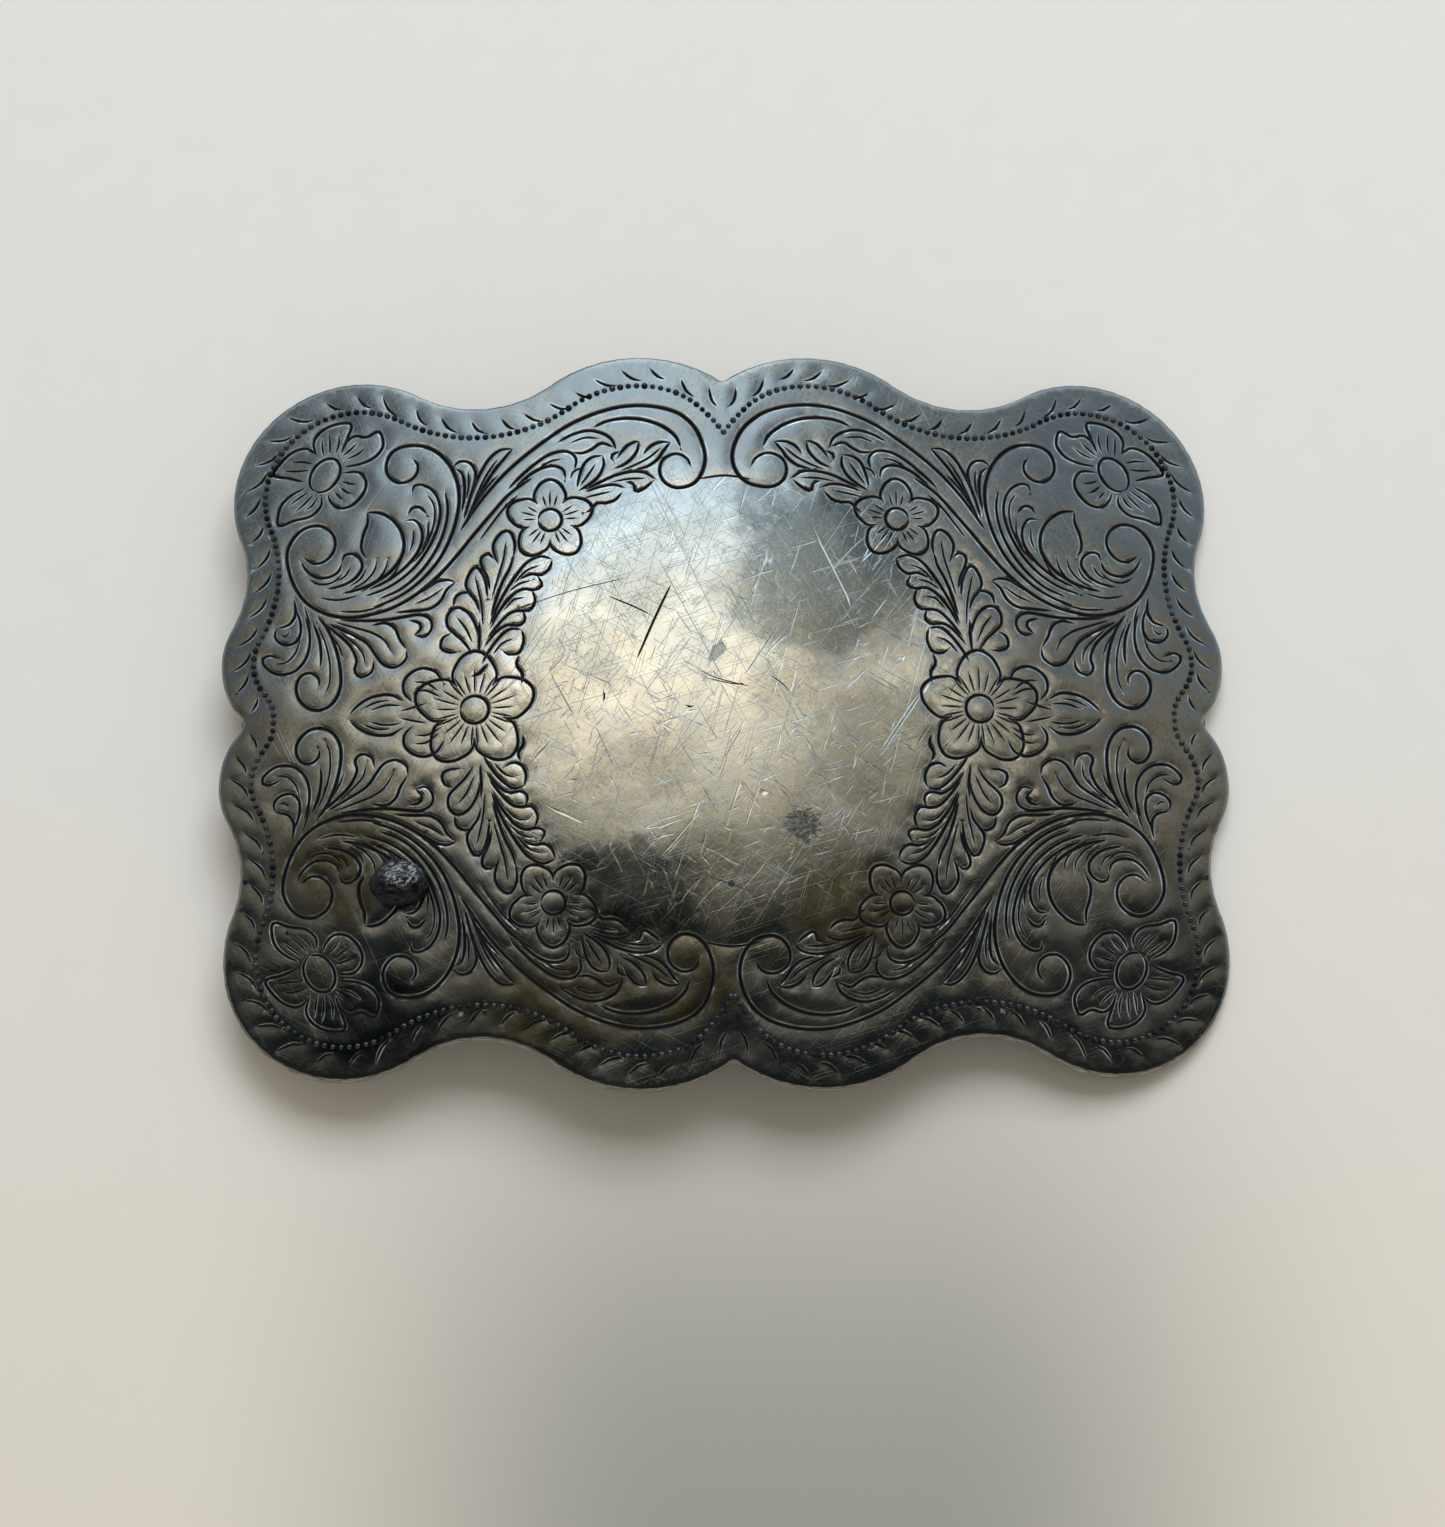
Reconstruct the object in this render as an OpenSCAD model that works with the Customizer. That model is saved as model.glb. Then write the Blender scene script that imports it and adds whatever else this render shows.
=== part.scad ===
// Plate belt buckle: a bowed, scalloped face plate with a hinged wire bail and a fixed hook
// soldered to its back. The face looks up (+Z), the belt runs along X and the hook tip is at Z = 0.

/* [Face plate] */
// Overall width of the plate, along the belt
plate_w = 89; // [86:0.5:92]
// Overall height of the plate, across the belt
plate_h = 67; // [65:0.5:70]
// Thickness of the plate's sheet
plate_t = 1.2; // [0.8:0.1:1.6]
// Radius of the plate's bow along the belt
bow_r = 185; // [150:5:260]
// Radius of the plate's crown across the belt
crown_r = 320; // [280:10:600]

/* [Scalloped edge] */
// Distance of each top lobe's centre from the middle line
top_lobe_x = 7.65; // [7:0.05:8.2]
// Radius of the top lobes
top_lobe_r = 12.95; // [12:0.05:14]
// Corner lobe's centre along the belt
corner_x = 32.95; // [32:0.05:34]
// Corner lobe's centre across the belt
corner_y = 21.1; // [20.5:0.05:21.6]
// Radius of the corner lobes
corner_r = 10.85; // [10.2:0.05:11.2]
// Distance of each side lobe's centre from the middle line
side_lobe_y = 5.5; // [5:0.05:6]
// Radius of the side lobes
side_lobe_r = 7.35; // [6.8:0.05:7.8]
// Radius of the sweep between a top lobe and a corner
top_sweep_r = 10.5; // [9:0.1:12]
// Radius of the sweep between a corner and a side lobe
side_sweep_r = 9.8; // [8.5:0.1:11]
// Fillet in the top and bottom notches
top_notch_r = 0.6; // [0.4:0.1:1]
// Fillet in the two side notches
side_notch_r = 1.2; // [0.6:0.1:1.8]

/* [Bail and its hinge] */
// Position of the hinge along the belt
hinge_x = 12; // [9:0.5:14]
// Diameter of the bail's wire
wire_d = 2.8; // [2.4:0.1:3]
// Width of strap that the bail takes
belt_w = 40; // [39:0.5:42]
// Distance from the hinge axis to the bail's outer bar
bail_reach = 17; // [15:0.5:17.5]
// Angle of the bail below level as it lies at rest
bail_droop = 3.5; // [3:0.5:12]
// Outer diameter of the hinge barrel
barrel_d = 5; // [4.6:0.1:5]
// Length of the hinge barrel
barrel_l = 26; // [22:1:28]
// Length of the hinge strap across the belt
strap_l = 34; // [30:1:35]
// Width of the hinge strap
strap_w = 9; // [8:0.5:11]

/* [Hook] */
// Position of the hook along the belt
hook_x = -21; // [-24:0.5:-18]
// Height of the hook's tip below the back of the plate
hook_reach = 8; // [7:0.5:9]
// Diameter of the hook's prong
prong_d = 4.2; // [3.8:0.1:4.6]
// Lean of the prong towards the end of the plate
prong_lean = 15; // [10:1:18]
// Diameter of the hook's base disc
base_d = 9; // [8:0.5:11]

/* [Hidden] */

silver_grey = "#6e6a64";
wire_grey = "#8b8883";
solder_grey = "#a4a6a8";
braze_gold = "#a08a56";
lump_black = "#2c2f33";

big_fn = 256;       // facets of the plate's large radii
round_fn = 96;      // facets of the outline and of small round parts
film_t = 0.15;      // solder or braze under a piece that is fixed with it
strap_t = 0.8;      // sheet of the hinge strap
base_t = 0.9;       // thickness of the hook's base disc
fillet_w = 0.7;     // width of the solder round a piece
fillet_t = 0.5;     // height of that solder on the plate
bore_clear = 0.1;   // gap between the bail's wire and the barrel's bore
bore_d = wire_d + 2 * bore_clear;
bend_r = 3;         // bend of the bail's wire at its centre line
barrel_gap = 0.03;  // least gap between the round of the barrel and its braze
bite = 0.003;       // how far the outline's concave arcs cut past touching the lobes
pintle_in = 6;      // how far each end of the wire reaches into the barrel
foot_w = 5.6;       // width of the barrel's foot
neck_w = 4.4;       // width of the foot where it leaves the barrel
tenon_d = 2.4;      // riveted end of the prong, in the base disc
root_d = prong_d + 1.4;  // ball at the root of the prong
root_z = 0.4;       // height of that ball's centre above the base disc

// Drop of the face below its highest point
function crown_drop(y) = crown_r - sqrt(crown_r ^ 2 - y ^ 2);
function face_drop(x, y) = bow_r - sqrt((bow_r - crown_drop(y)) ^ 2 - x ^ 2);
back_at_hook = plate_t + face_drop(hook_x, 0);
crown_z = back_at_hook + hook_reach;
prong_l = (hook_reach - film_t - base_t - prong_d / 2) / cos(prong_lean);
bail_y = belt_w / 2 + wire_d / 2;

// The barrel is straight, so its two ends come nearest to the crowned strap
strap_depth = plate_t + film_t + strap_t;
barrel_top = crown_z - face_drop(hinge_x, barrel_l / 2) - strap_depth - film_t - barrel_gap;
hinge_z = barrel_top - barrel_d / 2;

// Centres of the outline's lobes, in one quarter of the plate
top_lobe = [top_lobe_x, plate_h / 2 - top_lobe_r];
corner = [corner_x, corner_y];
side_lobe = [plate_w / 2 - side_lobe_r, side_lobe_y];

// Centre of the circle of radius r that touches two lobes from outside
function touching(a, ra, b, rb, r) =
    let (d = norm(b - a),
         along = ((ra + r) ^ 2 - (rb + r) ^ 2 + d * d) / (2 * d),
         up = sqrt((ra + r) ^ 2 - along * along),
         e = (b - a) / d)
    a + e * along + [-e[1], e[0]] * up;

top_sweep = touching(top_lobe, top_lobe_r, corner, corner_r, top_sweep_r);
side_sweep = touching(corner, corner_r, side_lobe, side_lobe_r, side_sweep_r);
top_notch = [0, top_lobe[1] + sqrt((top_lobe_r + top_notch_r) ^ 2 - top_lobe_x ^ 2)];
side_notch = [side_lobe[0] + sqrt((side_lobe_r + side_notch_r) ^ 2 - side_lobe_y ^ 2), 0];

// Repeats its children in the other three quarters of the plate
module four_ways() {
    for (sx = [0, 1], sy = [0, 1]) mirror([sx, 0]) mirror([0, sy]) children();
}

// Scalloped blank: lobes on a prism through every arc's centre, less the sweeps and notches
module scalloped_blank(h) {
    quarter = [top_notch, top_lobe, top_sweep, corner, side_sweep, side_lobe, side_notch];
    right = concat(quarter, [for (i = [5:-1:0]) [quarter[i][0], -quarter[i][1]]]);
    left = [for (i = [11:-1:1]) [-right[i][0], right[i][1]]];
    difference() {
        union() {
            linear_extrude(height = h) polygon(concat(right, left));
            four_ways() {
                translate(top_lobe) cylinder(r = top_lobe_r, h = h, $fn = round_fn);
                translate(corner) cylinder(r = corner_r, h = h, $fn = round_fn);
                translate(side_lobe) cylinder(r = side_lobe_r, h = h, $fn = round_fn);
            }
        }
        translate([0, 0, -1]) {
            four_ways() {
                translate(top_sweep) cylinder(r = top_sweep_r + bite, h = h + 2, $fn = round_fn);
                translate(side_sweep) cylinder(r = side_sweep_r + bite, h = h + 2, $fn = round_fn);
            }
            for (s = [-1, 1]) {
                translate(s * top_notch) cylinder(r = top_notch_r + bite, h = h + 2, $fn = round_fn);
                translate(s * side_notch) cylinder(r = side_notch_r + bite, h = h + 2, $fn = round_fn);
            }
        }
    }
}

// Solid ring whose outside is the bowed and crowned face, sunk by depth
module bowed_body(depth) {
    translate([0, 0, crown_z - bow_r]) rotate([90, 0, 0])
        rotate_extrude($fn = big_fn)
            intersection() {
                translate([bow_r - crown_r, 0]) rotate(180) circle(r = crown_r - depth, $fn = big_fn);
                translate([bow_r - 30, -plate_h]) square([31, 2 * plate_h]);
            }
}

// Prism that the layers of the plate are cut from
module tall() {
    linear_extrude(height = crown_z + 1) children();
}

// Layer under the bowed face from one depth to a deeper one, inside a prism
module bowed_layer(from, to) {
    intersection() {
        children();
        difference() {
            bowed_body(from);
            bowed_body(to);
        }
    }
}

module strap_shape(grow = 0) {
    corner_round = 1.5 + grow;
    l = strap_l / 2 + grow - corner_round;
    w = strap_w / 2 + grow - corner_round;
    translate([hinge_x, 0]) {
        square([2 * w, 2 * (l + corner_round)], center = true);
        square([2 * (w + corner_round), 2 * l], center = true);
        for (sx = [-1, 1], sy = [-1, 1])
            translate([sx * w, sy * l]) circle(r = corner_round, $fn = round_fn);
    }
}

module face_plate() {
    color(silver_grey) bowed_layer(0, plate_t) scalloped_blank(crown_z + 1);
}

// Hardened metal from an old repair, standing on the face
module repair_lump() {
    at = [-28.4, -15];
    sunk = 0.8;
    spots = [[0.2, -0.2, 2.2], [-1.1, 0, 1.7], [1.1, 0.1, 1.5]];
    color(lump_black) translate([at[0], at[1], crown_z - face_drop(at[0], at[1])])
        rotate([-asin(at[1] / crown_r), asin(at[0] / bow_r), 0]) intersection() {
            union() {
                for (s = spots) translate([s[0], s[1], -sunk]) sphere(r = s[2], $fn = round_fn);
            }
            translate([-4, -4, 0]) cube([8, 8, 4]);
        }
}

module hinge_strap() {
    color(silver_grey) bowed_layer(plate_t + film_t, strap_depth) tall() strap_shape();
}

// Film between the strap and the plate, with the solder that ran out round it
module strap_solder() {
    color(solder_grey) {
        bowed_layer(plate_t, plate_t + film_t) tall() strap_shape(fillet_w);
        bowed_layer(plate_t, plate_t + fillet_t) tall() difference() {
            strap_shape(fillet_w);
            strap_shape();
        }
    }
}

module foot_shape(grow = 0) {
    translate([hinge_x, 0]) square([foot_w + 2 * grow, barrel_l + 2 * grow], center = true);
}

// Barrel with a foot along it that reaches up to the strap
module hinge_barrel() {
    color(wire_grey) difference() {
        union() {
            translate([hinge_x, barrel_l / 2, hinge_z]) rotate([90, 0, 0])
                cylinder(d = barrel_d, h = barrel_l, $fn = round_fn);
            intersection() {
                translate([hinge_x, barrel_l / 2, hinge_z]) rotate([90, 0, 0])
                    linear_extrude(height = barrel_l)
                        polygon([[-neck_w / 2, 0], [neck_w / 2, 0], [foot_w / 2, barrel_d / 2 - 0.6],
                                 [foot_w / 2, barrel_d], [-foot_w / 2, barrel_d],
                                 [-foot_w / 2, barrel_d / 2 - 0.6]]);
                bowed_body(strap_depth + film_t);
            }
        }
        translate([hinge_x, barrel_l, hinge_z]) rotate([90, 0, 0])
            cylinder(d = bore_d, h = 2 * barrel_l, $fn = round_fn);
    }
}

// Braze between the barrel's foot and the strap, with the bead that ran out round it
module barrel_braze() {
    braze_w = 0.45;
    braze_t = 0.4;
    color(braze_gold) {
        bowed_layer(strap_depth, strap_depth + film_t) tall() foot_shape(braze_w);
        bowed_layer(strap_depth, strap_depth + braze_t) tall() difference() {
            foot_shape(braze_w);
            foot_shape();
        }
    }
}

// One straight length of the bail's wire, from the origin along X
module wire(length) {
    rotate([0, 90, 0]) cylinder(d = wire_d, h = length, $fn = round_fn);
}

// A quarter bend of the wire from +X towards +Y, starting at the origin
module wire_bend() {
    translate([0, bend_r, 0]) rotate([0, 0, -90])
        rotate_extrude(angle = 90, $fn = round_fn)
            translate([bend_r, 0]) circle(d = wire_d, $fn = round_fn);
}

// Half of the bail, from the middle of its outer bar round to the end in the barrel
module bail_half() {
    arm_l = bail_reach - 2 * bend_r;
    bar_l = bail_y - bend_r;
    pintle_l = bail_y - bend_r - (barrel_l / 2 - pintle_in);
    translate([bail_reach, 0, 0]) rotate([0, 0, 90]) wire(bar_l);
    translate([bail_reach, bar_l, 0]) rotate([0, 0, 90]) wire_bend();
    translate([bend_r, bail_y, 0]) wire(arm_l);
    translate([bend_r, bail_y, 0]) rotate([0, 0, 180]) wire_bend();
    translate([0, bar_l - pintle_l, 0]) rotate([0, 0, 90]) wire(pintle_l);
}

module bail() {
    color(wire_grey) translate([hinge_x, 0, hinge_z]) rotate([0, bail_droop, 0]) {
        bail_half();
        mirror([0, 1, 0]) bail_half();
    }
}

// Places its children at the hook, with +Z out of the plate's back
module at_hook() {
    translate([hook_x, 0, crown_z - back_at_hook]) rotate([180, 0, 0]) children();
}

module hook_base() {
    color(silver_grey) difference() {
        bowed_layer(plate_t + film_t, plate_t + film_t + base_t)
            tall() translate([hook_x, 0]) circle(d = base_d, $fn = round_fn);
        at_hook() translate([0, 0, -1]) cylinder(d = tenon_d, h = base_t + 4, $fn = round_fn);
    }
}

module hook_solder() {
    color(solder_grey) {
        bowed_layer(plate_t, plate_t + film_t)
            tall() translate([hook_x, 0]) circle(d = base_d + 2 * fillet_w, $fn = round_fn);
        bowed_layer(plate_t, plate_t + fillet_t)
            tall() translate([hook_x, 0]) difference() {
                circle(d = base_d + 2 * fillet_w, $fn = round_fn);
                circle(d = base_d, $fn = round_fn);
            }
    }
}

// Prong with a riveted tenon and a ball at its root, which follows the back of the base disc
module hook_prong() {
    seat = film_t + base_t;
    color(wire_grey) {
        at_hook() translate([0, 0, film_t + 0.1]) cylinder(d = tenon_d, h = seat + 0.5, $fn = round_fn);
        difference() {
            at_hook() translate([0, 0, seat]) rotate([0, -prong_lean, 0]) {
                translate([0, 0, root_z]) sphere(d = root_d, $fn = round_fn);
                translate([0, 0, root_z]) cylinder(d = prong_d, h = prong_l - root_z, $fn = round_fn);
                translate([0, 0, prong_l]) sphere(d = prong_d, $fn = round_fn);
            }
            bowed_layer(-2, plate_t + seat)
                tall() translate([hook_x, 0]) circle(d = base_d + 6, $fn = round_fn);
        }
    }
}

face_plate();
repair_lump();
hinge_strap();
strap_solder();
hinge_barrel();
barrel_braze();
bail();
hook_base();
hook_solder();
hook_prong();
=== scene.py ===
"""A scalloped, bowed plate buckle: a struck and engraved face with a wire bail and a hook behind."""

import math

import bmesh
import bpy
import numpy as np
from mathutils import Matrix, Vector
from mathutils.geometry import delaunay_2d_cdt
from mathutils.kdtree import KDTree
from mathutils.noise import noise as noise_at, turbulence


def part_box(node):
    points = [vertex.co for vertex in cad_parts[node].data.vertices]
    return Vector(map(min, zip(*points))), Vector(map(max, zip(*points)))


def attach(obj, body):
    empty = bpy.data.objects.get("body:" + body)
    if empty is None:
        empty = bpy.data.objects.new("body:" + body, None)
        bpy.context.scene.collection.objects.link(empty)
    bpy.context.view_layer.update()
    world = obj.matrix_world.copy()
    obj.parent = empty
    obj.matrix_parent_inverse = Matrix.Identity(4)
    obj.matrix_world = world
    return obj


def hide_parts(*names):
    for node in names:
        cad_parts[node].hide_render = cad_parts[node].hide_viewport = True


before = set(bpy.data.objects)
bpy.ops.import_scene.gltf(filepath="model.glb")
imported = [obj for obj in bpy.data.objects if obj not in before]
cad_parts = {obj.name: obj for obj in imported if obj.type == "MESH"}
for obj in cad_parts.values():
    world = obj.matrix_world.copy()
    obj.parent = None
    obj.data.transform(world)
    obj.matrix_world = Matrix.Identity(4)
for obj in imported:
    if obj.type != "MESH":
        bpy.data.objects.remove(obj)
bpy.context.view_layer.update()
MM = 0.001


# ---- The sheet's shape
# The plate is one piece of nickel silver sheet, dished so that it is bowed along the belt and a
# little crowned across it. Everything on the face follows that dish.
PLATE_T = 1.2
BOW_R = 185.0
CROWN_R = 320.0
plate_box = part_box("face_plate")
CROWN_Z = plate_box[1][2] / MM


def face_drop(x, y):
    """How far the dished face lies under its highest point, at a place on the plate."""
    ring = BOW_R - CROWN_R + np.sqrt(CROWN_R ** 2 - y ** 2)
    return BOW_R - np.sqrt(ring ** 2 - x ** 2)


# ---- Camera
# A long lens from above, a little in front of the buckle's lower edge.
CAMERA_AT = Vector((-14.96, -93.54, 299.69))
CROWN = Vector((0, 0, CROWN_Z)) * MM


def add_object(name, data):
    """An object made of its data and linked into the scene."""
    made = bpy.data.objects.new(name, data)
    bpy.context.collection.objects.link(made)
    return made


camera_data = bpy.data.cameras.new("camera")
camera_data.sensor_fit = "VERTICAL"
camera_data.sensor_height = 36
camera_data.lens = 85.2
camera_data.clip_start = 0.01
camera = add_object("camera", camera_data)
across = Vector((0.99895, -0.01584, 0.0431))
upward = Vector((0.0030, 0.9592, 0.2829))
towards = Vector((-0.0458, -0.2825, 0.9582))
turn = Matrix((across, upward, towards)).transposed()
camera.matrix_world = Matrix.Translation(CROWN + CAMERA_AT * MM) @ turn.to_4x4()
bpy.context.scene.camera = camera


# ---- The plate's outline
# Eight small lobes and four round corners joined by sweeps, all tangent arcs, the same in each
# quarter. It was sawn or blanked and its rim was rounded by hand.
LOBE_TOP = ((7.65, 20.55), 12.95)
LOBE_CORNER = ((32.95, 21.1), 10.85)
LOBE_SIDE = ((37.15, 5.5), 7.35)
SWEEP_TOP_R = 10.5
SWEEP_SIDE_R = 9.8
NOTCH_TOP_R = 0.6
NOTCH_SIDE_R = 1.2


def touching(a, ra, b, rb, r):
    """Centre of the circle of radius r that touches two lobes from outside, on the outer side."""
    a, b = np.array(a), np.array(b)
    d = np.hypot(*(b - a))
    e = (b - a) / d
    along = ((ra + r) ** 2 - (rb + r) ** 2 + d * d) / (2 * d)
    up = math.sqrt((ra + r) ** 2 - along ** 2)
    return a + e * along + np.array((-e[1], e[0])) * up


def outline_quarter(step, inset=0.0):
    """Points of one quarter of the outline from the top notch to the side notch, moved in by inset."""
    (top, rt), (corner, rc), (side, rs) = LOBE_TOP, LOBE_CORNER, LOBE_SIDE
    sweep_top = touching(top, rt, corner, rc, SWEEP_TOP_R)
    sweep_side = touching(corner, rc, side, rs, SWEEP_SIDE_R)
    notch_top = (0, top[1] + math.sqrt((rt + NOTCH_TOP_R) ** 2 - top[0] ** 2))
    notch_side = (side[0] + math.sqrt((rs + NOTCH_SIDE_R) ** 2 - side[1] ** 2), 0)
    arcs = [(notch_top, -NOTCH_TOP_R), (top, rt), (sweep_top, -SWEEP_TOP_R), (corner, rc),
            (sweep_side, -SWEEP_SIDE_R), (side, rs), (notch_side, -NOTCH_SIDE_R)]
    stops = [(0, -1)]
    for (c0, r0), (c1, r1) in zip(arcs, arcs[1:]):
        c0, c1 = np.array(c0), np.array(c1)
        stops.append(tuple(c0 + (c1 - c0) * abs(r0) / (abs(r0) + abs(r1))))
    points = []
    for i, (c, r) in enumerate(arcs):
        c = np.array(c)
        first = np.array((0, c[1] - abs(r))) if i == 0 else np.array(stops[i])
        last = np.array((c[0] - abs(r), 0)) if i == len(arcs) - 1 else np.array(stops[i + 1])
        a0 = math.atan2(*(first - c)[::-1])
        a1 = math.atan2(*(last - c)[::-1])
        turn_way = -1 if r > 0 else 1
        sweep = turn_way * ((turn_way * (a1 - a0)) % (2 * math.pi))
        reach = abs(r) - inset if r > 0 else abs(r) + inset
        n = max(2, int(abs(sweep) * abs(r) / step))
        for k in range(n):
            a = a0 + sweep * k / n
            p = c + reach * np.array((math.cos(a), math.sin(a)))
            if p[0] >= 0 and p[1] >= 0:
                points.append(tuple(p))
    return points


def outline_loop(step, inset=0.0):
    """The whole outline, clockwise from the top notch, moved in by inset."""
    quarter = outline_quarter(step, inset)
    top, side = quarter[0], quarter[-1]
    if abs(quarter[0][0]) > 1e-6:
        quarter = [(0, top[1])] + quarter
    if abs(side[1]) > 1e-6:
        quarter = quarter + [(side[0], 0)]
    right = quarter + [(x, -y) for x, y in quarter[-2::-1]]
    return right + [(-x, y) for x, y in right[-2:0:-1]]


# ---- The struck ornament
# Scrolls, acanthus and flowers cut as tapering lines. One quarter is drawn, and the other three
# are its mirror images, each a little displaced, as a hand engraver lays out a plate.
LINE_W = 0.38
FINE_W = 0.25
STEM_W = 0.44

SCROLL = [
    (STEM_W, (2.0, 22.4), (2.3, 23.1), (3.0, 23.55), (3.9, 23.5), (4.7, 22.9), (4.95, 21.9), (4.6, 20.95),
     (3.7, 20.35), (2.6, 20.4), (1.6, 20.95), (0.9, 22.0), (0.6, 23.4), (0.85, 24.9), (1.6, 26.4),
     (2.9, 27.5), (4.7, 28.15), (6.8, 28.4), (8.9, 28.2), (11.0, 27.55), (13.0, 26.6), (15.0, 25.2),
     (17.0, 23.6), (18.8, 21.9), (20.4, 20.0), (21.6, 18.3), (22.6, 16.7)),
    (STEM_W, (2.9, 24.2), (3.4, 25.3), (4.6, 26.3), (6.2, 26.95), (7.9, 27.15), (9.6, 26.9), (10.8, 26.3)),
    (STEM_W, (16.3, 21.5), (18.3, 20.0), (20.0, 18.0), (21.6, 16.0), (23.0, 14.2), (24.6, 12.4),
     (26.5, 10.8), (28.5, 9.7), (30.5, 9.15), (32.6, 9.0), (34.5, 9.5), (36.1, 10.5), (37.2, 12.0),
     (37.9, 13.9), (38.05, 15.6), (37.4, 17.0), (36.4, 17.8), (35.2, 17.9), (34.2, 17.3), (33.75, 16.3),
     (33.95, 15.2), (34.7, 14.45), (35.6, 14.3), (36.5, 14.9)),
    (STEM_W, (26.9, 23.9), (26.45, 23.2), (26.6, 22.3), (27.3, 21.7), (28.3, 21.65), (29.1, 22.4),
     (29.3, 23.4), (28.9, 24.5), (28.0, 25.1), (26.7, 25.2), (25.5, 24.9), (24.4, 24.1), (23.5, 22.9),
     (22.9, 21.3), (22.75, 19.5), (23.0, 17.7), (23.5, 16.0), (24.3, 14.3), (25.4, 12.8), (26.9, 11.4),
     (28.6, 10.4), (30.3, 9.8)),
]
SPRIG = [
    (LINE_W, (3.9, 24.7), (4.9, 24.75), (5.8, 24.3), (6.4, 23.5)),
    (LINE_W, (3.9, 24.7), (4.5, 24.0), (5.1, 23.1), (6.0, 22.4), (7.1, 22.1)),
    (FINE_W, (4.8, 24.2), (5.8, 23.3), (7.0, 22.6), (8.4, 22.0)),
    (LINE_W, (6.8, 24.8), (7.6, 24.6), (8.2, 24.0), (8.7, 23.2)),
    (LINE_W, (6.8, 24.8), (6.9, 24.0), (7.4, 23.2), (8.1, 22.6), (9.0, 22.2)),
    (LINE_W, (8.5, 23.9), (9.2, 23.5), (9.1, 22.9)),
    (LINE_W, (10.0, 23.5), (10.9, 23.4), (11.6, 22.8), (12.0, 21.8), (12.3, 20.4)),
    (LINE_W, (10.0, 23.5), (9.9, 22.6), (10.3, 21.6), (11.1, 20.8), (12.2, 20.1)),
    (FINE_W, (10.6, 22.8), (11.2, 21.8), (12.0, 20.6)),
    (LINE_W, (5.3, 21.1), (6.2, 21.75), (7.4, 21.9), (8.8, 21.6), (10.1, 21.0), (11.6, 20.2)),
    (LINE_W, (5.5, 21.0), (6.3, 20.3), (7.1, 19.95), (7.3, 20.7), (8.0, 20.9)),
    (FINE_W, (6.2, 21.2), (7.6, 21.2), (9.2, 20.9)),
    (LINE_W, (8.0, 20.3), (9.0, 20.65), (10.2, 20.5), (11.6, 20.0)),
    (LINE_W, (8.3, 19.9), (8.9, 19.2), (9.8, 18.9), (10.6, 18.9), (11.0, 18.3), (11.6, 18.0)),
    (FINE_W, (9.2, 20.0), (10.6, 19.7), (11.7, 19.4)),
    (FINE_W, (11.8, 22.4), (12.6, 22.0), (12.9, 21.3)),
    (LINE_W, (8.8, 24.1), (9.2, 25.1), (10.1, 25.75), (11.4, 26.0), (12.8, 25.6), (14.0, 24.9)),
    (LINE_W, (9.0, 24.3), (10.1, 24.75), (10.9, 24.2), (11.8, 23.8), (12.7, 23.9)),
    (FINE_W, (10.3, 25.2), (11.6, 25.3), (12.9, 24.8)),
    (LINE_W, (12.5, 22.2), (12.35, 23.2), (12.9, 23.9), (13.9, 24.0), (15.0, 23.6), (16.2, 22.7),
     (17.4, 21.6), (18.4, 20.5)),
    (LINE_W, (13.3, 21.3), (13.5, 22.2), (14.3, 22.6), (15.4, 22.45), (16.5, 21.8), (17.7, 20.7)),
    (FINE_W, (13.6, 23.3), (14.8, 23.0), (16.0, 22.1)),
    (FINE_W, (17.5, 19.9), (18.8, 18.6), (19.9, 17.1), (20.9, 15.7)),
    (FINE_W, (19.3, 21.9), (20.4, 20.6), (21.4, 19.0)),
]
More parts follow.
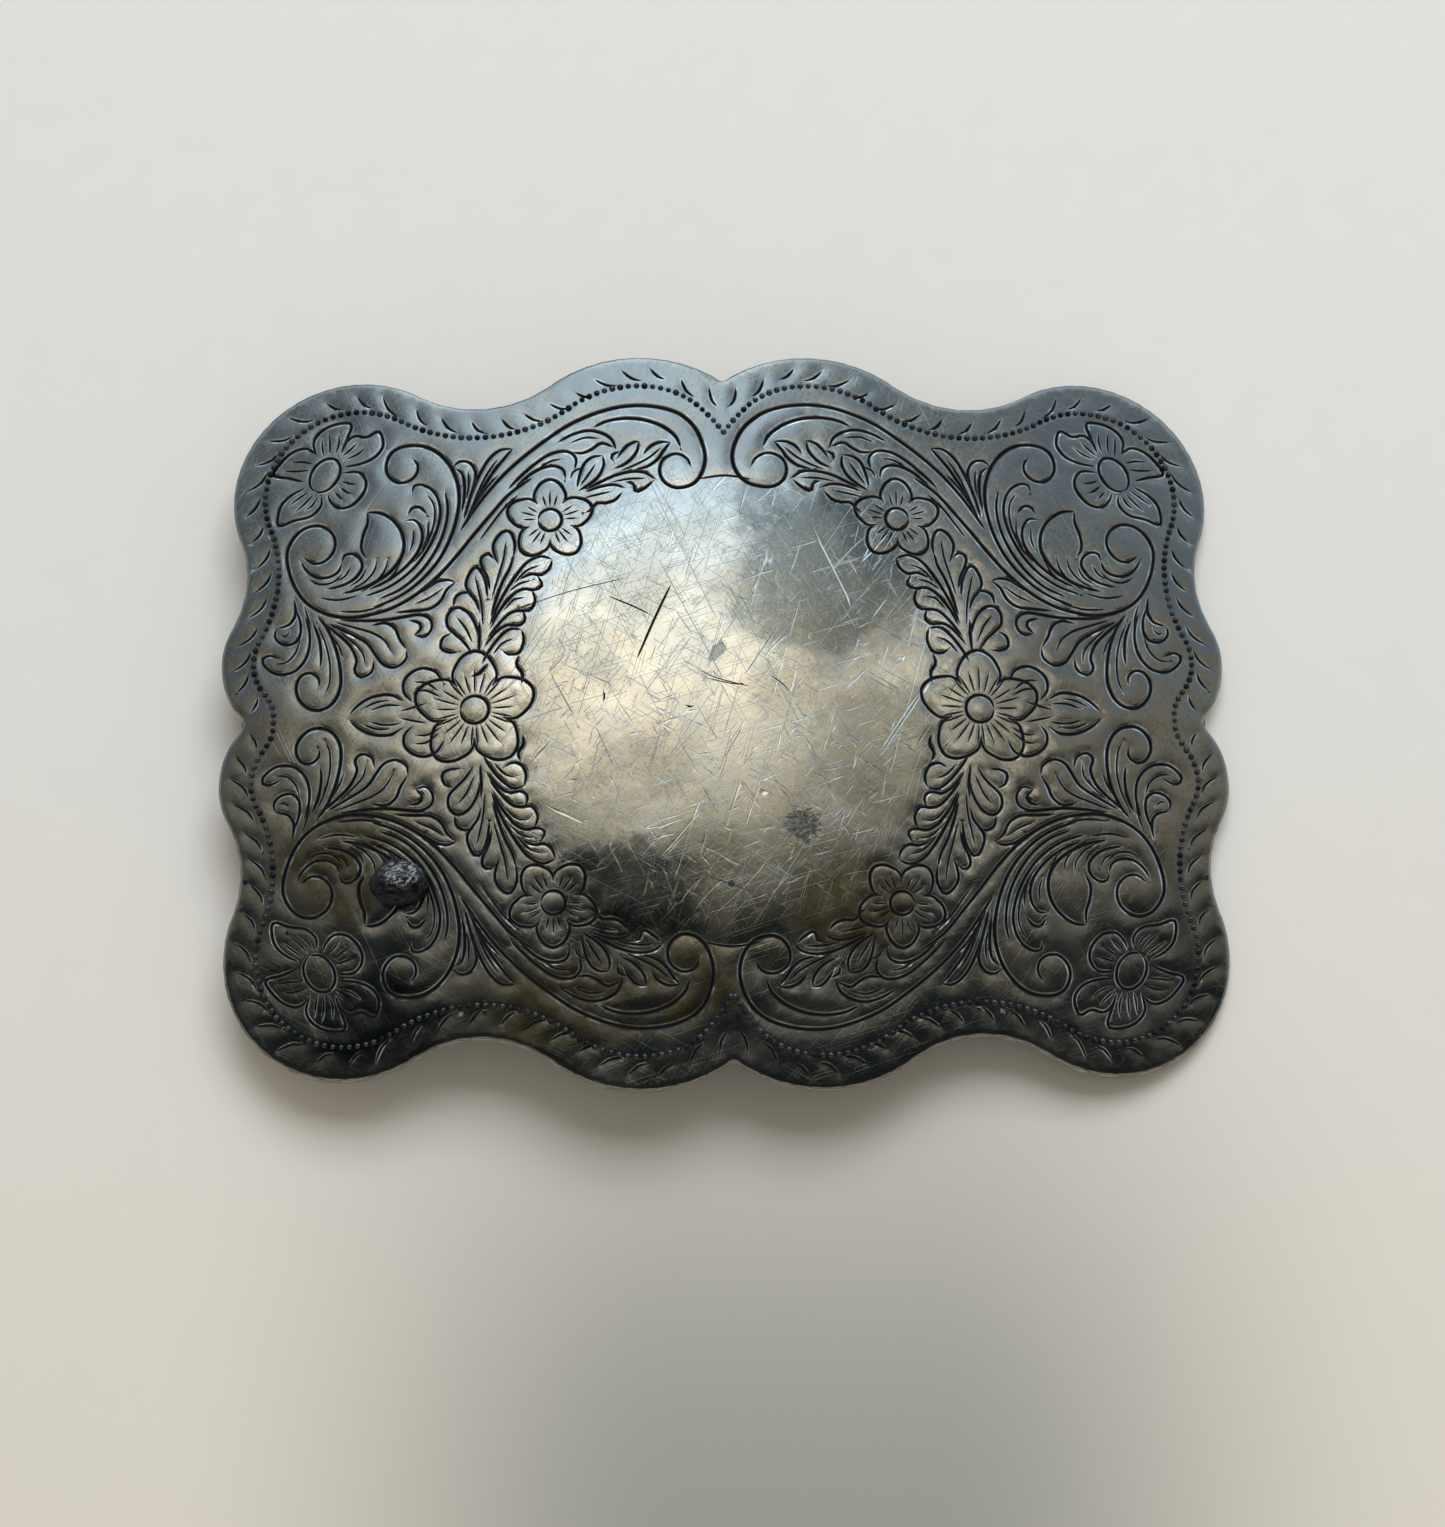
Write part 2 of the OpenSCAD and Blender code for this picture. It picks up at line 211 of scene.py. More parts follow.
CHAIN = [
    (LINE_W, (17.9, 14.0), (17.8, 15.2), (18.1, 16.2), (18.6, 16.5), (19.2, 16.1), (19.7, 15.2),
     (19.6, 14.3), (19.3, 13.4)),
    (LINE_W, (17.9, 14.2), (18.2, 13.0), (18.8, 11.8), (19.4, 10.2), (19.9, 8.4)),
    (FINE_W, (18.6, 15.4), (18.8, 13.8), (19.3, 12.0), (19.8, 10.2)),
    (LINE_W, (19.6, 13.8), (20.2, 14.35), (20.8, 13.9), (20.6, 12.9), (20.2, 12.0), (20.0, 10.9)),
    (LINE_W, (20.2, 10.2), (20.4, 11.8), (20.9, 12.9), (21.4, 13.1), (21.9, 12.3), (22.1, 11.4),
     (21.7, 10.6), (21.2, 9.9), (20.9, 8.9)),
    (FINE_W, (21.3, 12.2), (21.0, 11.0), (20.7, 9.4), (20.6, 7.6)),
    (LINE_W, (21.6, 10.6), (22.3, 10.8), (23.0, 10.4), (23.2, 9.5)),
    (LINE_W, (20.9, 6.4), (21.3, 7.9), (22.0, 9.0), (23.0, 9.4), (23.7, 8.7), (23.7, 7.7), (23.1, 7.0),
     (22.3, 6.2), (21.7, 5.2)),
    (FINE_W, (22.9, 8.5), (22.1, 7.4), (21.5, 6.0)),
    (LINE_W, (23.4, 7.0), (24.1, 6.6), (24.3, 5.7), (23.6, 5.3), (22.8, 5.3)),
    (LINE_W, (14.5, 13.6), (15.5, 13.95), (16.6, 13.5), (17.5, 12.5), (18.4, 11.1), (19.3, 9.4), (20.0, 7.6)),
    (LINE_W, (14.5, 13.6), (14.8, 12.7), (15.5, 12.2), (16.4, 12.3), (17.4, 11.8)),
    (FINE_W, (15.6, 13.1), (16.8, 12.6), (17.9, 11.4)),
    (LINE_W, (15.8, 12.1), (15.4, 11.2), (16.1, 10.8), (17.1, 10.9), (18.1, 10.3), (19.1, 9.0), (19.9, 7.4)),
    (FINE_W, (16.3, 11.7), (17.4, 11.4), (18.3, 10.7)),
    (LINE_W, (16.3, 10.8), (16.0, 9.8), (16.5, 8.9), (17.3, 8.9), (18.2, 8.7), (19.2, 7.7), (20.2, 6.4)),
    (FINE_W, (16.9, 10.1), (17.9, 9.9), (18.8, 8.9)),
    (LINE_W, (17.1, 8.9), (16.9, 8.0), (17.5, 7.5), (18.5, 7.6), (19.5, 6.9), (20.5, 5.7)),
    (LINE_W, (17.2, 7.1), (17.0, 6.1), (17.5, 5.1), (18.4, 4.9), (19.0, 5.3)),
    (LINE_W, (17.2, 7.1), (18.2, 7.2), (19.2, 6.4), (20.2, 5.2), (20.9, 4.2)),
    (FINE_W, (17.9, 6.3), (18.9, 5.9), (19.9, 4.9)),
    (LINE_W, (20.9, 8.0), (20.9, 6.4), (21.1, 5.0)),
    (STEM_W, (17.6, 4.8), (17.9, 4.0), (17.5, 3.2), (17.7, 2.3)),
]
FAN = [
    (LINE_W, (18.0, 24.4), (19.1, 24.35), (20.1, 23.5), (20.8, 22.3), (21.4, 20.9), (21.9, 19.4),
     (22.3, 17.8)),
    (LINE_W, (18.0, 24.4), (18.9, 23.3), (19.8, 22.1), (20.7, 20.6), (21.4, 19.2), (22.1, 17.6)),
    (FINE_W, (19.4, 23.4), (20.3, 22.0), (21.0, 20.5), (21.6, 19.0)),
    (LINE_W, (23.3, 22.9), (22.7, 23.4), (21.8, 23.2), (21.3, 22.3), (21.4, 21.1), (21.8, 19.8),
     (22.2, 18.3)),
    (LINE_W, (23.1, 22.7), (22.5, 22.2), (22.3, 21.2), (22.3, 20.0), (22.5, 18.5)),
    (FINE_W, (22.0, 22.4), (21.9, 21.2), (22.1, 19.7)),
]
CORNER = [
    (LINE_W, (24.0, 20.5), (23.75, 19.0), (23.9, 17.4), (24.4, 15.7), (25.3, 14.0), (26.5, 12.5),
     (28.0, 11.3), (29.7, 10.6)),
    (LINE_W, (26.9, 20.5), (26.8, 21.2), (26.1, 21.3), (25.2, 20.8), (24.6, 19.8), (24.4, 18.4), (24.7, 16.9),
     (25.3, 15.4), (26.3, 13.8), (27.6, 12.5), (29.2, 11.5), (31.0, 10.9)),
    (FINE_W, (25.6, 20.3), (25.0, 19.3), (24.9, 18.0), (25.2, 16.6), (25.9, 15.0), (26.8, 13.8)),
    (LINE_W, (27.3, 18.4), (26.9, 19.1), (26.2, 19.1), (25.6, 18.4)),
    (LINE_W, (27.5, 17.9), (26.7, 17.9), (26.1, 17.1), (26.0, 16.0), (26.4, 14.8), (27.4, 13.5), (28.8, 12.4),
     (30.6, 11.5)),
    (FINE_W, (25.5, 17.8), (25.5, 16.4), (26.0, 15.0)),
    (FINE_W, (26.8, 16.9), (26.8, 15.9), (27.1, 14.9)),
    (STEM_W, (30.9, 18.9), (29.8, 18.8), (28.7, 18.1), (27.9, 17.0), (27.6, 15.7), (27.8, 14.5), (28.5, 13.4),
     (29.6, 12.5), (31.2, 11.7), (33.0, 11.3)),
    (LINE_W, (30.9, 18.9), (30.9, 17.8), (31.3, 16.6), (31.4, 15.4), (30.9, 14.4)),
    (LINE_W, (33.1, 14.2), (32.9, 14.9), (32.2, 15.0), (31.5, 14.5), (31.3, 13.7), (31.8, 12.8), (32.9, 12.1),
     (34.4, 11.8)),
    (LINE_W, (33.1, 14.2), (33.4, 13.4), (34.3, 12.9), (35.4, 13.0), (36.3, 13.7), (36.8, 14.6)),
    (FINE_W, (33.0, 13.2), (33.9, 12.4), (35.1, 12.3), (36.0, 12.8)),
    (FINE_W, (30.0, 14.3), (30.2, 13.3), (31.0, 12.3), (32.2, 11.6)),
    (FINE_W, (29.0, 14.3), (29.3, 13.2), (30.2, 12.1), (31.4, 11.3)),
    (FINE_W, (30.9, 13.6), (31.4, 12.6), (32.4, 11.9)),
    (FINE_W, (27.9, 13.9), (28.6, 12.7), (29.8, 11.7)),
    (FINE_W, (32.3, 13.8), (32.8, 12.9), (33.6, 12.5)),
    (FINE_W, (31.6, 11.0), (33.4, 10.7), (35.0, 11.0)),
    (FINE_W, (29.3, 9.9), (31.3, 9.5), (33.3, 9.6)),
]
SIDE = [
    (LINE_W, (23.0, 11.8), (23.9, 12.05), (24.9, 11.8), (25.9, 11.0)),
    (LINE_W, (23.0, 11.8), (23.8, 11.1), (24.3, 10.1), (25.3, 9.4), (26.7, 9.3), (28.3, 9.2)),
    (FINE_W, (24.1, 11.3), (25.2, 10.5), (26.6, 9.9)),
    (LINE_W, (26.6, 7.0), (25.7, 6.8), (25.1, 7.5), (25.2, 8.4), (26.1, 8.9), (27.4, 8.8), (29.0, 8.6),
     (31.0, 8.6), (33.2, 8.8)),
    (LINE_W, (26.6, 7.0), (26.0, 7.6), (26.3, 8.2), (27.1, 8.4)),
    (LINE_W, (27.3, 5.7), (27.9, 6.7), (28.3, 7.7), (29.2, 8.3), (30.4, 8.1)),
    (LINE_W, (27.3, 5.7), (27.5, 4.8), (28.5, 4.2), (29.5, 4.5), (30.1, 5.4), (30.8, 6.5), (32.2, 7.4),
     (34.2, 8.5)),
    (FINE_W, (28.6, 5.4), (29.2, 6.6), (30.3, 7.4), (31.9, 8.0), (33.6, 8.6)),
    (LINE_W, (30.3, 4.9), (30.6, 3.9), (31.6, 3.5), (32.1, 4.1), (31.8, 5.0), (32.2, 6.2), (33.2, 7.3),
     (34.7, 8.6)),
    (FINE_W, (31.1, 4.5), (31.2, 5.6), (32.0, 6.6), (33.2, 7.7)),
    (FINE_W, (32.9, 5.2), (33.3, 6.4), (34.1, 7.6)),
    (STEM_W, (35.2, 9.3), (34.3, 8.0), (33.6, 6.3), (33.35, 4.5), (33.5, 2.8), (34.2, 1.5), (35.3, 0.85),
     (36.5, 1.0), (37.3, 1.9), (37.4, 3.0), (36.8, 3.95), (35.9, 4.1), (35.3, 3.5), (35.4, 2.8)),
    (FINE_W, (35.2, 8.5), (34.5, 6.8), (34.2, 5.0), (34.4, 3.2), (34.9, 2.2)),
    (LINE_W, (35.6, 8.7), (35.0, 7.0), (34.9, 5.4), (35.1, 4.5)),
    (LINE_W, (36.3, 9.3), (35.9, 7.8), (35.9, 6.4), (36.4, 5.2), (37.5, 4.3), (38.9, 4.2), (39.9, 4.9),
     (40.1, 5.6), (39.4, 5.9), (38.4, 5.5)),
    (FINE_W, (36.7, 7.2), (37.1, 6.0), (38.0, 5.2), (39.0, 5.1)),
    (LINE_W, (37.1, 10.0), (36.7, 8.6), (36.8, 7.4), (37.5, 6.8), (38.5, 7.0), (39.0, 7.7), (38.8, 8.4)),
    (LINE_W, (37.3, 11.0), (37.2, 9.6), (37.7, 8.7), (38.8, 8.4)),
    (FINE_W, (37.6, 8.1), (38.0, 7.6), (38.5, 7.7)),
    (FINE_W, (36.4, 10.3), (36.0, 9.0), (35.8, 8.0)),
]
BUD = [
    (LINE_W, (24.5, 2.6), (25.0, 3.6), (26.0, 4.0), (27.1, 3.7), (27.9, 2.9), (28.0, 1.9), (27.4, 1.1)),
    (FINE_W, (25.0, 1.9), (26.0, 2.7), (27.1, 2.8)),
    (FINE_W, (24.9, 1.4), (26.0, 2.0), (27.0, 2.0)),
    (LINE_W, (28.2, 1.2), (29.2, 1.8), (30.6, 1.75), (31.9, 1.2), (33.0, 0.3)),
    (FINE_W, (28.4, 0.8), (29.8, 0.9), (31.2, 0.5)),
    (FINE_W, (26.2, 0.9), (27.4, 0.6), (28.6, 0.3)),
    (FINE_W, (29.3, 1.3), (30.6, 1.2), (31.8, 0.7)),
]
CORNER_FLOWER = [
    (LINE_W, (33.1, 23.5), (31.6, 23.7), (30.3, 24.3), (29.6, 25.4), (30.0, 26.8), (31.1, 26.3), (32.2, 26.5),
     (33.0, 25.8), (33.4, 24.8)),
    (LINE_W, (33.4, 24.8), (32.9, 26.2), (32.5, 27.7), (33.9, 27.8), (35.2, 27.2), (35.9, 26.1),
     (35.6, 24.8)),
    (LINE_W, (35.6, 24.9), (36.6, 25.6), (37.8, 25.3), (38.8, 24.4), (39.5, 23.2), (38.1, 22.8),
     (36.7, 22.3)),
    (LINE_W, (36.6, 21.7), (37.9, 21.0), (38.8, 19.9), (38.9, 18.2), (37.5, 18.6), (36.0, 18.9), (35.1, 19.8),
     (35.1, 20.8)),
    (LINE_W, (33.2, 22.9), (31.8, 22.9), (31.1, 22.0), (31.3, 20.8), (32.3, 19.7), (33.5, 19.5), (34.3, 20.3),
     (34.5, 21.0)),
    (FINE_W, (33.0, 24.2), (32.0, 24.6), (31.2, 25.2)),
    (FINE_W, (33.3, 24.5), (32.5, 25.2), (31.9, 25.8)),
    (FINE_W, (33.9, 24.8), (33.6, 25.8), (33.6, 26.8)),
    (FINE_W, (34.4, 24.8), (34.4, 25.9), (34.5, 26.9)),
    (FINE_W, (34.9, 24.6), (35.1, 25.6), (35.1, 26.4)),
    (FINE_W, (35.9, 24.0), (36.9, 24.3), (37.9, 24.3)),
    (FINE_W, (36.2, 23.4), (37.3, 23.4), (38.5, 23.5)),
    (FINE_W, (36.2, 21.3), (37.0, 20.8), (37.9, 20.1)),
    (FINE_W, (35.8, 21.0), (36.5, 20.2), (37.4, 19.4)),
    (FINE_W, (35.4, 20.7), (35.9, 19.9), (36.5, 19.5)),
    (FINE_W, (33.5, 21.6), (32.8, 21.0), (32.3, 20.8)),
    (FINE_W, (33.3, 22.1), (32.5, 21.8), (31.9, 21.7)),
    (FINE_W, (33.9, 21.1), (33.4, 20.5), (33.1, 20.2)),
]
# Short cuts between the beads and the rim, each by its inner and its outer end
RIM_CUTS = [
    (0.4, 28.2, 1.3, 30.7), (2.4, 29.2, 3.9, 31.6),
    (4.9, 31.1, 6.7, 32.6), (7.0, 31.0, 9.3, 32.4), (9.1, 30.6, 11.8, 31.5),
    (11.5, 29.5, 13.4, 30.2), (13.6, 28.4, 15.8, 29.2), (15.7, 27.2, 18.1, 28.3), (18.3, 26.4, 20.0, 27.9),
    (21.1, 26.1, 22.7, 27.8), (23.6, 26.3, 25.4, 28.3), (26.3, 27.1, 27.6, 29.3), (28.9, 28.1, 30.7, 30.9),
    (31.2, 29.2, 33.0, 30.9), (33.9, 29.4, 35.8, 30.4), (36.3, 28.6, 39.4, 29.2), (38.2, 27.3, 41.2, 26.9),
    (39.5, 25.8, 42.2, 24.4), (40.5, 24.0, 43.0, 21.8), (41.2, 21.6, 42.9, 19.3), (40.9, 18.8, 42.2, 16.8),
    (40.2, 16.6, 41.8, 14.2), (40.0, 14.3, 41.8, 12.0), (40.3, 11.9, 42.4, 9.6), (41.0, 9.2, 43.4, 7.0),
    (41.6, 6.9, 43.7, 4.7), (41.9, 4.9, 43.2, 2.7), (41.1, 2.6, 41.9, 0.8),
]


def oval(cx, cy, rx, ry, lean, sides):
    """Points of a closed oval cut round a flower's centre."""
    points = []
    for k in range(sides + 1):
        a = 2 * math.pi * k / sides
        u, v = rx * math.cos(a), ry * math.sin(a)
        x = cx + u * math.cos(lean) - v * math.sin(lean)
        y = cy + u * math.sin(lean) + v * math.cos(lean)
        points.append((x, y))
    return points


PETALS = 5
PETAL_OUT = 1.08
PETAL_OPEN = 2.25
PETAL_ROUND = 0.62
SHADE_APART = 0.27


def flower(centre, r_centre, r_petal, lean, shades=3):
    """Cuts of a five-petalled flower: its ringed centre, five round petals and their shading."""
    cx, cy = centre
    cuts = [(LINE_W, *oval(cx, cy, r_centre, r_centre, 0.0, 12))]
    for k in range(PETALS):
        a = lean + 2 * math.pi * k / PETALS
        px, py = cx + r_petal * PETAL_OUT * math.cos(a), cy + r_petal * PETAL_OUT * math.sin(a)
        loop = []
        for j in range(9):
            b = a - PETAL_OPEN + 2 * PETAL_OPEN * j / 8
            r = r_petal * (PETAL_ROUND + 0.04 * math.cos(3 * (b - a)))
            loop.append((px + r * math.cos(b), py + r * math.sin(b)))
        cuts.append((LINE_W, *loop))
        for j in range(shades):
            b = a + (j - (shades - 1) / 2) * SHADE_APART
            r0, r1 = r_centre * 1.2, r_petal * (1.22 if j == shades // 2 else 1.1)
            cuts.append((FINE_W * 0.8, (cx + r0 * math.cos(b), cy + r0 * math.sin(b)),
                         (cx + r1 * math.cos(b), cy + r1 * math.sin(b))))
    return cuts


RIM_W = 0.31
RIM_SHORT = 0.12


def rim_cut(x0, y0, x1, y1):
    """A short curved cut from the beads towards the rim, a little short at both ends."""
    dx, dy = x1 - x0, y1 - y0
    x0, y0, x1, y1 = x0 + RIM_SHORT * dx, y0 + RIM_SHORT * dy, x1 - RIM_SHORT * dx, y1 - RIM_SHORT * dy
    dx, dy = x1 - x0, y1 - y0
    return (RIM_W, (x0, y0), (x0 + 0.35 * dx + 0.11 * dy, y0 + 0.35 * dy - 0.11 * dx),
            (x0 + 0.7 * dx + 0.08 * dy, y0 + 0.7 * dy - 0.08 * dx), (x1, y1))


# How far each quarter is displaced, by the signs of x and y. It fades out at the middle lines.
SHIFT = {(1, 1): (0.6, 0.4), (-1, 1): (0.8, 0.3), (1, -1): (0.0, 0.0), (-1, -1): (0.6, -0.2)}

# The two left scrolls start further from the middle line
LEFT_APART = 1.0

drawn = SCROLL + SPRIG + CHAIN + FAN + CORNER + SIDE + BUD + CORNER_FLOWER
drawn += [(LINE_W, *oval(34.8, 22.8, 1.75, 1.25, math.radians(-60), 14))]
drawn += flower((14.7, 17.4), 1.05, 2.25, math.radians(90))


def smooth_line(points, spacing):
    """A Catmull-Rom curve through the points, as evenly spaced stations with their share of the length."""
    p = np.array(points, float)
    if len(p) == 2:
        dense = p[0] + (p[1] - p[0]) * np.linspace(0, 1, 12)[:, None]
    else:
        ext = np.vstack([2 * p[0] - p[1], p, 2 * p[-1] - p[-2]])
        parts = []
        t = np.linspace(0, 1, 9)[:-1, None]
        for i in range(1, len(ext) - 2):
            a, b, c, d = ext[i - 1], ext[i], ext[i + 1], ext[i + 2]
            parts.append(0.5 * (2 * b + (c - a) * t + (2 * a - 5 * b + 4 * c - d) * t ** 2
                                + (3 * b - a - 3 * c + d) * t ** 3))
        dense = np.vstack(parts + [p[-1:]])
    run = np.r_[0, np.cumsum(np.hypot(*np.diff(dense, axis=0).T))]
    n = max(3, int(round(run[-1] / spacing)) + 1)
    s = np.linspace(0, run[-1], n)
    return np.c_[np.interp(s, run, dense[:, 0]), np.interp(s, run, dense[:, 1])], s / run[-1]


def taper(t, length):
    """Share of the full width along a cut: thin where the graver enters and leaves."""
    nose = min(0.45, 1.1 / max(length, 0.1))
    rise = np.clip(t / nose, 0, 1)
    fall = np.clip((1 - t) / nose, 0, 1)
    swell = 0.74 + 0.36 * np.sin(math.pi * t) ** 0.7
    return 0.12 + 0.88 * swell * np.sqrt(np.minimum(rise, fall) * (2 - np.minimum(rise, fall)))


cuts = []
for sx in (1, -1):
    for sy in (1, -1):
        dx, dy = SHIFT[(sx, sy)]
        for width, *points in drawn:
            placed = []
            for x, y in points:
                fade = min(1.0, y / 6) * min(1.0, x / 3)
                apart = LEFT_APART * math.exp(-(x / 2.2) ** 2) if sx < 0 else 0.0
                placed.append((sx * (x + dx * fade + apart), sy * (y + dy * fade)))
            cuts.append((width, placed))
        for ends in RIM_CUTS:
            width, *points = rim_cut(*ends)
            cuts.append((width, [(sx * x, sy * y) for x, y in points]))
    for width, *points in flower((22.1, 0.2), 1.25, 3.1, math.radians(90), 5):
        cuts.append((width, [(sx * x, y) for x, y in points]))

# A fine shallow arc crosses the middle line above the plain field, and another below it
for y in (-21.1, 21.6):
    end_y = y - 0.2 * np.sign(y)
    cuts.append((FINE_W, [(-2.4, end_y), (0, y + 0.15 * np.sign(y)), (2.4, end_y)]))


# Knocks and deep scratches from wear, each with its width and its points
KNOCKS = [
    (0.24, (-4.9, 11.3), (-5.7, 9.6), (-6.6, 7.6), (-7.9, 4.5)),
    (0.15, (-10.4, 10.3), (-8.4, 9.4), (-6.7, 8.5)),
    (0.11, (-2.5, 3.4), (-1.0, 2.6), (1.9, 1.8)), (0.11, (-1.9, 2.6), (0.2, 2.1), (1.4, 2.0)),
    (0.20, (-10.9, 1.6), (-10.8, 1.1), (-10.9, 0.5)), (0.20, (-3.8, 0.15), (-3.4, 0.0), (-3.0, 0.05)),
    (0.09, (-2.2, -15.1), (-0.2, -15.8), (1.9, -16.6)), (0.09, (-19.3, 9.0), (-14.2, 10.7), (-8.8, 12.0)),
    (0.11, (3.6, 2.9), (4.6, 2.2), (5.4, 1.3)), (0.45, (-22.4, 3.2), (-21.6, 3.6), (-20.9, 4.4)),
]


# ---- The plate's mesh
# The face is meshed along the cuts, so that each has its own sunk line and clean edges; the
# metal between them is left slightly domed, as a struck sheet is.
STATION = 0.36
CUT_SLOPE = 0.85
BURR_H = 0.010
BURR_W = 0.11
PILLOW_H = 0.033
PILLOW_R = 0.32
PUFF_H = 0.040
PUFF_R = 0.95
DENT_H = 0.05
FILL_REACH = 1.6
GLINT_REACH = 0.35
WALL_LOW = 0.18

# The faint dip along the row of dots, which draws to a point under the long sides' notches
BEAD_INSET = 2.85
CHANNEL_W = 0.66
CHANNEL_FLOOR = 0.42
CHANNEL_DEPTH = 0.006
CHANNEL_DARK = 0.18
CHANNEL_GUARD = 0.12
POINT_DEEP_TOP = 2.3
POINT_DEEP_BOTTOM = 3.0
POINT_WIDE = 1.4


def bead_loop(step):
    """The bead row's line: the outline moved in, and drawn to a point under the long sides' notches."""
    line = np.array(outline_loop(step, BEAD_INSET))
    deep = np.where(line[:, 1] > 0, POINT_DEEP_TOP, POINT_DEEP_BOTTOM)
    deep *= np.exp(-np.abs(line[:, 0]) / POINT_WIDE)
    line[:, 1] -= np.sign(line[:, 1]) * deep * (np.abs(line[:, 1]) > 20)
    return line


def stations(cut_list):
    """Each cut as its stations along the middle and its half width at each."""
    out = []
    for width, points in cut_list:
        xy, t = smooth_line(points, STATION)
        out.append((xy, 0.5 * width * taper(t, STATION * (len(xy) - 1))))
    return out


ornament_lines = stations(cuts)
knock_lines = stations([(width, points) for width, *points in KNOCKS])
lines = ornament_lines + knock_lines

flat_points = []
flat_edges = []


def add_chain(points, closed=False):
    """Adds a row of points to the plan, each joined to the next."""
    start = len(flat_points)
    flat_points.extend((float(x), float(y)) for x, y in points)
    count = len(points)
    for k in range(count - 1):
        flat_edges.append((start + k, start + k + 1))
    if closed:
        flat_edges.append((start + count - 1, start))


RIM_STEP = 0.55
rim = outline_loop(RIM_STEP)
add_chain(rim, True)
for inset in (0.09, 0.22):
    add_chain(outline_loop(RIM_STEP, inset), True)
bead_line = bead_loop(0.4)
bead_along = np.roll(bead_line, -1, axis=0) - np.roll(bead_line, 1, axis=0)
bead_along /= np.hypot(*bead_along.T)[:, None]
bead_across = np.c_[-bead_along[:, 1], bead_along[:, 0]]
for offset in (CHANNEL_FLOOR / 2, CHANNEL_W / 2, CHANNEL_W / 2 + CHANNEL_GUARD):
    add_chain(bead_line - offset * bead_across, True)
    add_chain(bead_line + offset * bead_across, True)
for xy, half in lines:
    tangent = np.gradient(xy, axis=0)
    tangent /= np.hypot(*tangent.T)[:, None]
    side = np.c_[-tangent[:, 1], tangent[:, 0]]
    add_chain(xy)
    for edge in (-1, 1):
        add_chain(xy + edge * side * half[:, None])
        add_chain(xy + edge * side * (half[:, None] + BURR_W))

station_xy = np.vstack([xy for xy, half in ornament_lines])
station_r = np.concatenate([half for xy, half in ornament_lines])


GRID_X = 44
GRID_Y = 33


def grid_fill(spacing, keep):
    """Points on a staggered grid over the plate, where keep says so."""
    rows = np.arange(-GRID_Y, GRID_Y + 0.1, spacing * 0.87)
    out = []
    for i, y in enumerate(rows):
        x = np.arange(-GRID_X, GRID_X + 0.1, spacing) + (spacing / 2 if i % 2 else 0)
        out.append(np.c_[x, np.full(len(x), y)])
    out = np.vstack(out)
    return out[keep(out)]


def bins(points, size):
    """Buckets of point numbers by square, for finding near neighbours."""
    table = {}
    for i, (a, b) in enumerate(np.floor(points / size).astype(int)):
        table.setdefault((a, b), []).append(i)
    return table


def nearest(query, targets, radii, reach):
    """Distance from each place to the nearest target's edge, up to reach."""
    size = reach + 0.4
    table = bins(targets, size)
    best = np.full(len(query), reach)
    for key, members in bins(query, size).items():
        near = []
        for a in (-1, 0, 1):
            for b in (-1, 0, 1):
                near += table.get((key[0] + a, key[1] + b), [])
        if near:
            d = np.hypot(query[members][:, None, 0] - targets[near][None, :, 0],
                         query[members][:, None, 1] - targets[near][None, :, 1])
            best[members] = np.minimum(reach, (d - radii[near][None, :]).min(axis=1))
    return best


def nearest_cut(query, reach):
    """Distance from each place to the nearest cut's edge, up to reach."""
    return nearest(query, station_xy, station_r, reach)


def nearest_loop(query, loop, reach):
    """Distance from each place to a loop of closely spaced points, up to reach."""
    return nearest(query, loop, np.zeros(len(loop)), reach)


def inside_plate(points, margin=0.0):
    """Which places lie inside the outline by more than margin."""
    x, y = points.T
    inside = np.zeros(len(points), bool)
    near = np.zeros(len(points), bool)
    for (a, b), (c, d) in zip(rim, rim[1:] + rim[:1]):
        if b != d:
            inside ^= ((b > y) != (d > y)) & (x < (c - a) * (y - b) / (d - b) + a)
        if margin:
            near |= np.hypot(x - a, y - b) < margin
    return inside & ~near


def ornament_fill(p):
    """Which places are between the cuts."""
    gap = nearest_cut(p, FILL_REACH)
    return (gap > 0.24) & (gap < FILL_REACH) & inside_plate(p, 0.45)


def plain_fill(p):
    """Which places are on the plain field."""
    return (nearest_cut(p, FILL_REACH) >= FILL_REACH) & inside_plate(p, 0.6)


flat_points += [tuple(p) for p in grid_fill(0.5, ornament_fill)]
flat_points += [tuple(p) for p in grid_fill(1.1, plain_fill)]


def meshed(flat, edges):
    """A plan's points joined up along its edges, with the triangles inside the outline, all one way round."""
    points, _, triangles, *_ = delaunay_2d_cdt([Vector(p) for p in flat], edges, [], 1, 1e-5, False)
    points = np.array([tuple(v) for v in points])
    tri = np.array([f for f in triangles if len(f) == 3])
    tri = tri[inside_plate(points[tri].mean(axis=1))]
    a, b, c = points[tri[:, 0]], points[tri[:, 1]], points[tri[:, 2]]
    area = (b[:, 0] - a[:, 0]) * (c[:, 1] - a[:, 1]) - (b[:, 1] - a[:, 1]) * (c[:, 0] - a[:, 0])
    tri[area < 0] = tri[area < 0][:, ::-1]
    return points, tri[np.abs(area) > 1e-9]


plan, plan_faces = meshed(flat_points, flat_edges)


